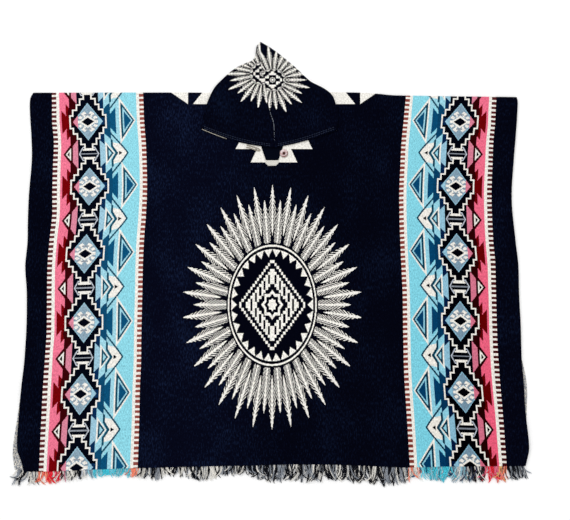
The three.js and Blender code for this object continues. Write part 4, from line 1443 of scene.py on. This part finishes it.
class PONCHO_OT_neck_slit(bpy.types.Operator):
    """Binds the edge of the neck slit and closes its foot with a stitched tab"""
    bl_idname = "poncho.neck_slit"
    bl_label = "Neck slit"

    def execute(self, context):
        cream = thread_material("polyester thread, cream", "cream")
        radius = context.scene.poncho_sizes.edging / MM
        z = FRONT_TOP - 0.2
        path = [(SLIT_TOP[0] - 4, -SLIT_HIDDEN)] + slit_path() + [(SLIT_TOP[1] + 3, -SLIT_HIDDEN)]
        points = [(x, y, z) for x, y in spread_path(path, 3.0)]
        strand = tube(points, [radius * (1 + 0.12 * (k % 2)) for k in range(len(points))], 8, 0.5)
        sew("slit_edging", [strand], cream)
        sew("slit_tab_stitches", tab_stitches(), cream, "slit_tab")
        return {"FINISHED"}


def spread_path(path, step):
    """Points along a path of straight pieces, about one step apart."""
    spread = [path[0]]
    for a, b in zip(path, path[1:]):
        parts = max(1, round(math.dist(a, b) / step))
        spread += [(mix(a[0], b[0], k / parts), mix(a[1], b[1], k / parts)) for k in range(1, parts + 1)]
    return spread


def tab_stitches():
    """The tab at the foot of the slit: satin stitches side by side, held by two long ones."""
    width, height = TAB["width"] - 3, TAB["height"] - 0.5
    centre_x, centre_y = TAB["x"], -TAB["down"]
    z = FRONT_TOP + CLEAR + 0.5
    tubes = []
    pitch = 1.15
    count = round(width / pitch)
    for k in range(count + 1):
        x = centre_x - width / 2 + width * k / count
        taper = 1 - 0.55 * max(0, abs(x - centre_x) / (width / 2) - 0.62) / 0.38
        low = centre_y + height / 2 - height * taper
        wave = 0.25 * math.sin(2.3 * k)
        tubes.append(stitch_tube((x + wave * 0.5, centre_y + height / 2, z), (x - wave, low, z), 0.68))
    for level in (0.22, 0.62):
        y = centre_y + height / 2 - height * level
        ends = width / 2 - 3
        row = [(centre_x - ends + 2 * ends * k / 12, y, z + 0.65) for k in range(13)]
        tubes.append(tube(row, [0.3] + [0.55] * 11 + [0.3]))
    return tubes


class PONCHO_OT_fastening(bpy.types.Operator):
    """Finishes the button and its thread, and makes the corded loop"""
    bl_idname = "poncho.fastening"
    bl_label = "Button and loop"

    def execute(self, context):
        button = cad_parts["button"]
        button.data.materials.clear()
        button.data.materials.append(shell_material())
        sew("button_thread", thread_passes(), thread_material("polyester thread, brown", "button_thread"))
        plies = loop_plies(context.scene.poncho_sizes.loop_ply / MM)
        sew("button_loop_cord", plies, thread_material("polyester cord, ecru", "ecru"), "button_loop")
        return {"FINISHED"}


def thread_passes():
    """Two crossed passes of brown thread through the four holes of the button."""
    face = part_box("button")[1].z / MM - 1.2
    offset = BUTTON_HOLE_SPREAD * math.cos(math.pi / 4)
    tubes = []
    for sign in (1, -1):
        for pass_side in (-0.55, 0.55):
            points = []
            for k in range(9):
                f = k / 8 * 2 - 1
                rise = 0.9 * (1 - f * f) + (0.2 if sign > 0 else 0.55) - (1.6 if abs(f) == 1 else 0)
                x = BUTTON_AT[0] + offset * f + pass_side * sign
                y = BUTTON_AT[1] + sign * offset * f - pass_side
                points.append((x, y, face + rise))
            tubes.append(tube(points, [1.15] * 9, twist=0.5))
    return tubes


def loop_plies(ply):
    """The two twisted plies of a cord along the loop's route."""
    path = [Vector((x, y, FRONT_TOP + CLEAR + 1.25)) for x, y in smooth_path(LOOP_ROUTE, 8)]
    tubes = []
    for phase in (0, math.pi):
        points = []
        for k, centre in enumerate(path):
            side = heading_at(path, k).cross(Vector((0, 0, 1))).normalized()
            turn = phase + k * 0.75
            points.append(centre + (side * math.cos(turn) + Vector((0, 0, 1)) * math.sin(turn)) * ply * 0.62)
        tubes.append(tube(points, [ply] * len(points), 7))
    return tubes


def smooth_path(points, steps):
    """A curve through given points, with this many steps between two of them."""
    curve = []
    for k in range(len(points) - 1):
        before, start = points[max(k - 1, 0)], points[k]
        end, after = points[k + 1], points[min(k + 2, len(points) - 1)]
        for s in range(steps):
            f = s / steps
            spot = []
            for a, b, c, d in zip(before, start, end, after):
                square, cube = 2 * a - 5 * b + 4 * c - d, 3 * b - a - 3 * c + d
                spot.append(0.5 * (2 * b + (c - a) * f + square * f ** 2 + cube * f ** 3))
            curve.append(tuple(spot))
    curve.append(points[-1])
    return curve


class PONCHO_OT_stage(bpy.types.Operator):
    """Sets the pale floor, the soft lights and the camera"""
    bl_idname = "poncho.stage"
    bl_label = "Floor, lights and camera"

    def execute(self, context):
        make_floor()
        make_lights(context)
        make_camera(context)
        context.scene.view_settings.view_transform = "Standard"
        return {"FINISHED"}


def make_floor():
    bpy.ops.object.select_all(action="DESELECT")
    bpy.ops.mesh.primitive_plane_add(size=9, location=(0, 0, -0.0004))
    floor = bpy.context.active_object
    floor.name = "floor"
    pick(floor)
    bpy.ops.object.transform_apply(location=True, rotation=True, scale=True)
    finish = {"Roughness": 0.95, "Specular IOR Level": 0.1}
    material, tree = new_material("studio floor, matt white paper", finish)
    spot = add(tree, "TexCoord", out=3)
    tooth = add(tree, "TexNoise", {"Vector": spot, "Scale": 60.0, "Detail": 2.0})
    shade = cover(tree, linear(PAPER[0]), linear(PAPER[1]), tooth)
    dye(tree, shade)
    floor.data.materials.append(material)


def make_lights(context):
    world = context.scene.world or bpy.data.worlds.new("studio")
    context.scene.world = world
    world.use_nodes = True
    background = world.node_tree.nodes["Background"]
    background.inputs["Color"].default_value = (1, 1, 1, 1)
    background.inputs["Strength"].default_value = 0.76
    for name, place_at, size, power in (
        ("key light", (-1.3, 1.5, 2.6), 1.6, 33), ("fill light", (1.6, -1.0, 2.4), 2.4, 15.5)
    ):
        light = bpy.data.lights.new(name, "AREA")
        light.size = size
        light.energy = power
        lamp = bpy.data.objects.new(name, light)
        context.collection.objects.link(lamp)
        lamp.location = place_at
        lamp.rotation_mode = "QUATERNION"
        lamp.rotation_quaternion = (-Vector(place_at)).to_track_quat("-Z", "Y")


def make_camera(context):
    camera = bpy.data.objects.new("camera", bpy.data.cameras.new("camera"))
    context.collection.objects.link(camera)
    camera.data.lens = CAMERA_LENS
    camera.data.sensor_width = SENSOR
    tilt = math.radians(CAMERA_TILT)
    back = Vector((0, -math.sin(tilt), math.cos(tilt)))
    camera.location = Vector(CAMERA_AIM) + back * CAMERA_DISTANCE
    camera.rotation_mode = "QUATERNION"
    camera.rotation_quaternion = (-back).to_track_quat("-Z", "Y")
    context.scene.camera = camera


class PONCHO_PT_panel(bpy.types.Panel):
    """Lists the poncho's pieces, sizes and colours"""
    bl_idname = "PONCHO_PT_panel"
    bl_label = "Poncho"
    bl_space_type = "VIEW_3D"
    bl_region_type = "UI"
    bl_category = "Poncho"

    def draw(self, context):
        for operator in OPERATORS:
            self.layout.operator(operator.bl_idname)
        for group in (context.scene.poncho_sizes, context.scene.poncho_colours):
            box = self.layout.box()
            for name in type(group).__annotations__:
                box.prop(group, name)


OPERATORS = [
    PONCHO_OT_front_cloth, PONCHO_OT_back_cloth, PONCHO_OT_hood, PONCHO_OT_hood_sewing, PONCHO_OT_fringe,
    PONCHO_OT_neck_slit, PONCHO_OT_fastening, PONCHO_OT_stage,
]
CLASSES = [PonchoSizes, PonchoColours, *OPERATORS, PONCHO_PT_panel]


def register():
    for each in CLASSES:
        bpy.utils.register_class(each)
    bpy.types.Scene.poncho_sizes = bpy.props.PointerProperty(type=PonchoSizes)
    bpy.types.Scene.poncho_colours = bpy.props.PointerProperty(type=PonchoColours)


def unregister():
    del bpy.types.Scene.poncho_colours
    del bpy.types.Scene.poncho_sizes
    for each in reversed(CLASSES):
        bpy.utils.unregister_class(each)


def main():
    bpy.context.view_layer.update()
    register()
    bpy.ops.poncho.front_cloth()
    bpy.ops.poncho.back_cloth()
    bpy.ops.poncho.hood()
    bpy.ops.poncho.hood_sewing()
    bpy.ops.poncho.fringe()
    bpy.ops.poncho.neck_slit()
    bpy.ops.poncho.fastening()
    bpy.ops.poncho.stage()


if __name__ == "__main__":
    main()
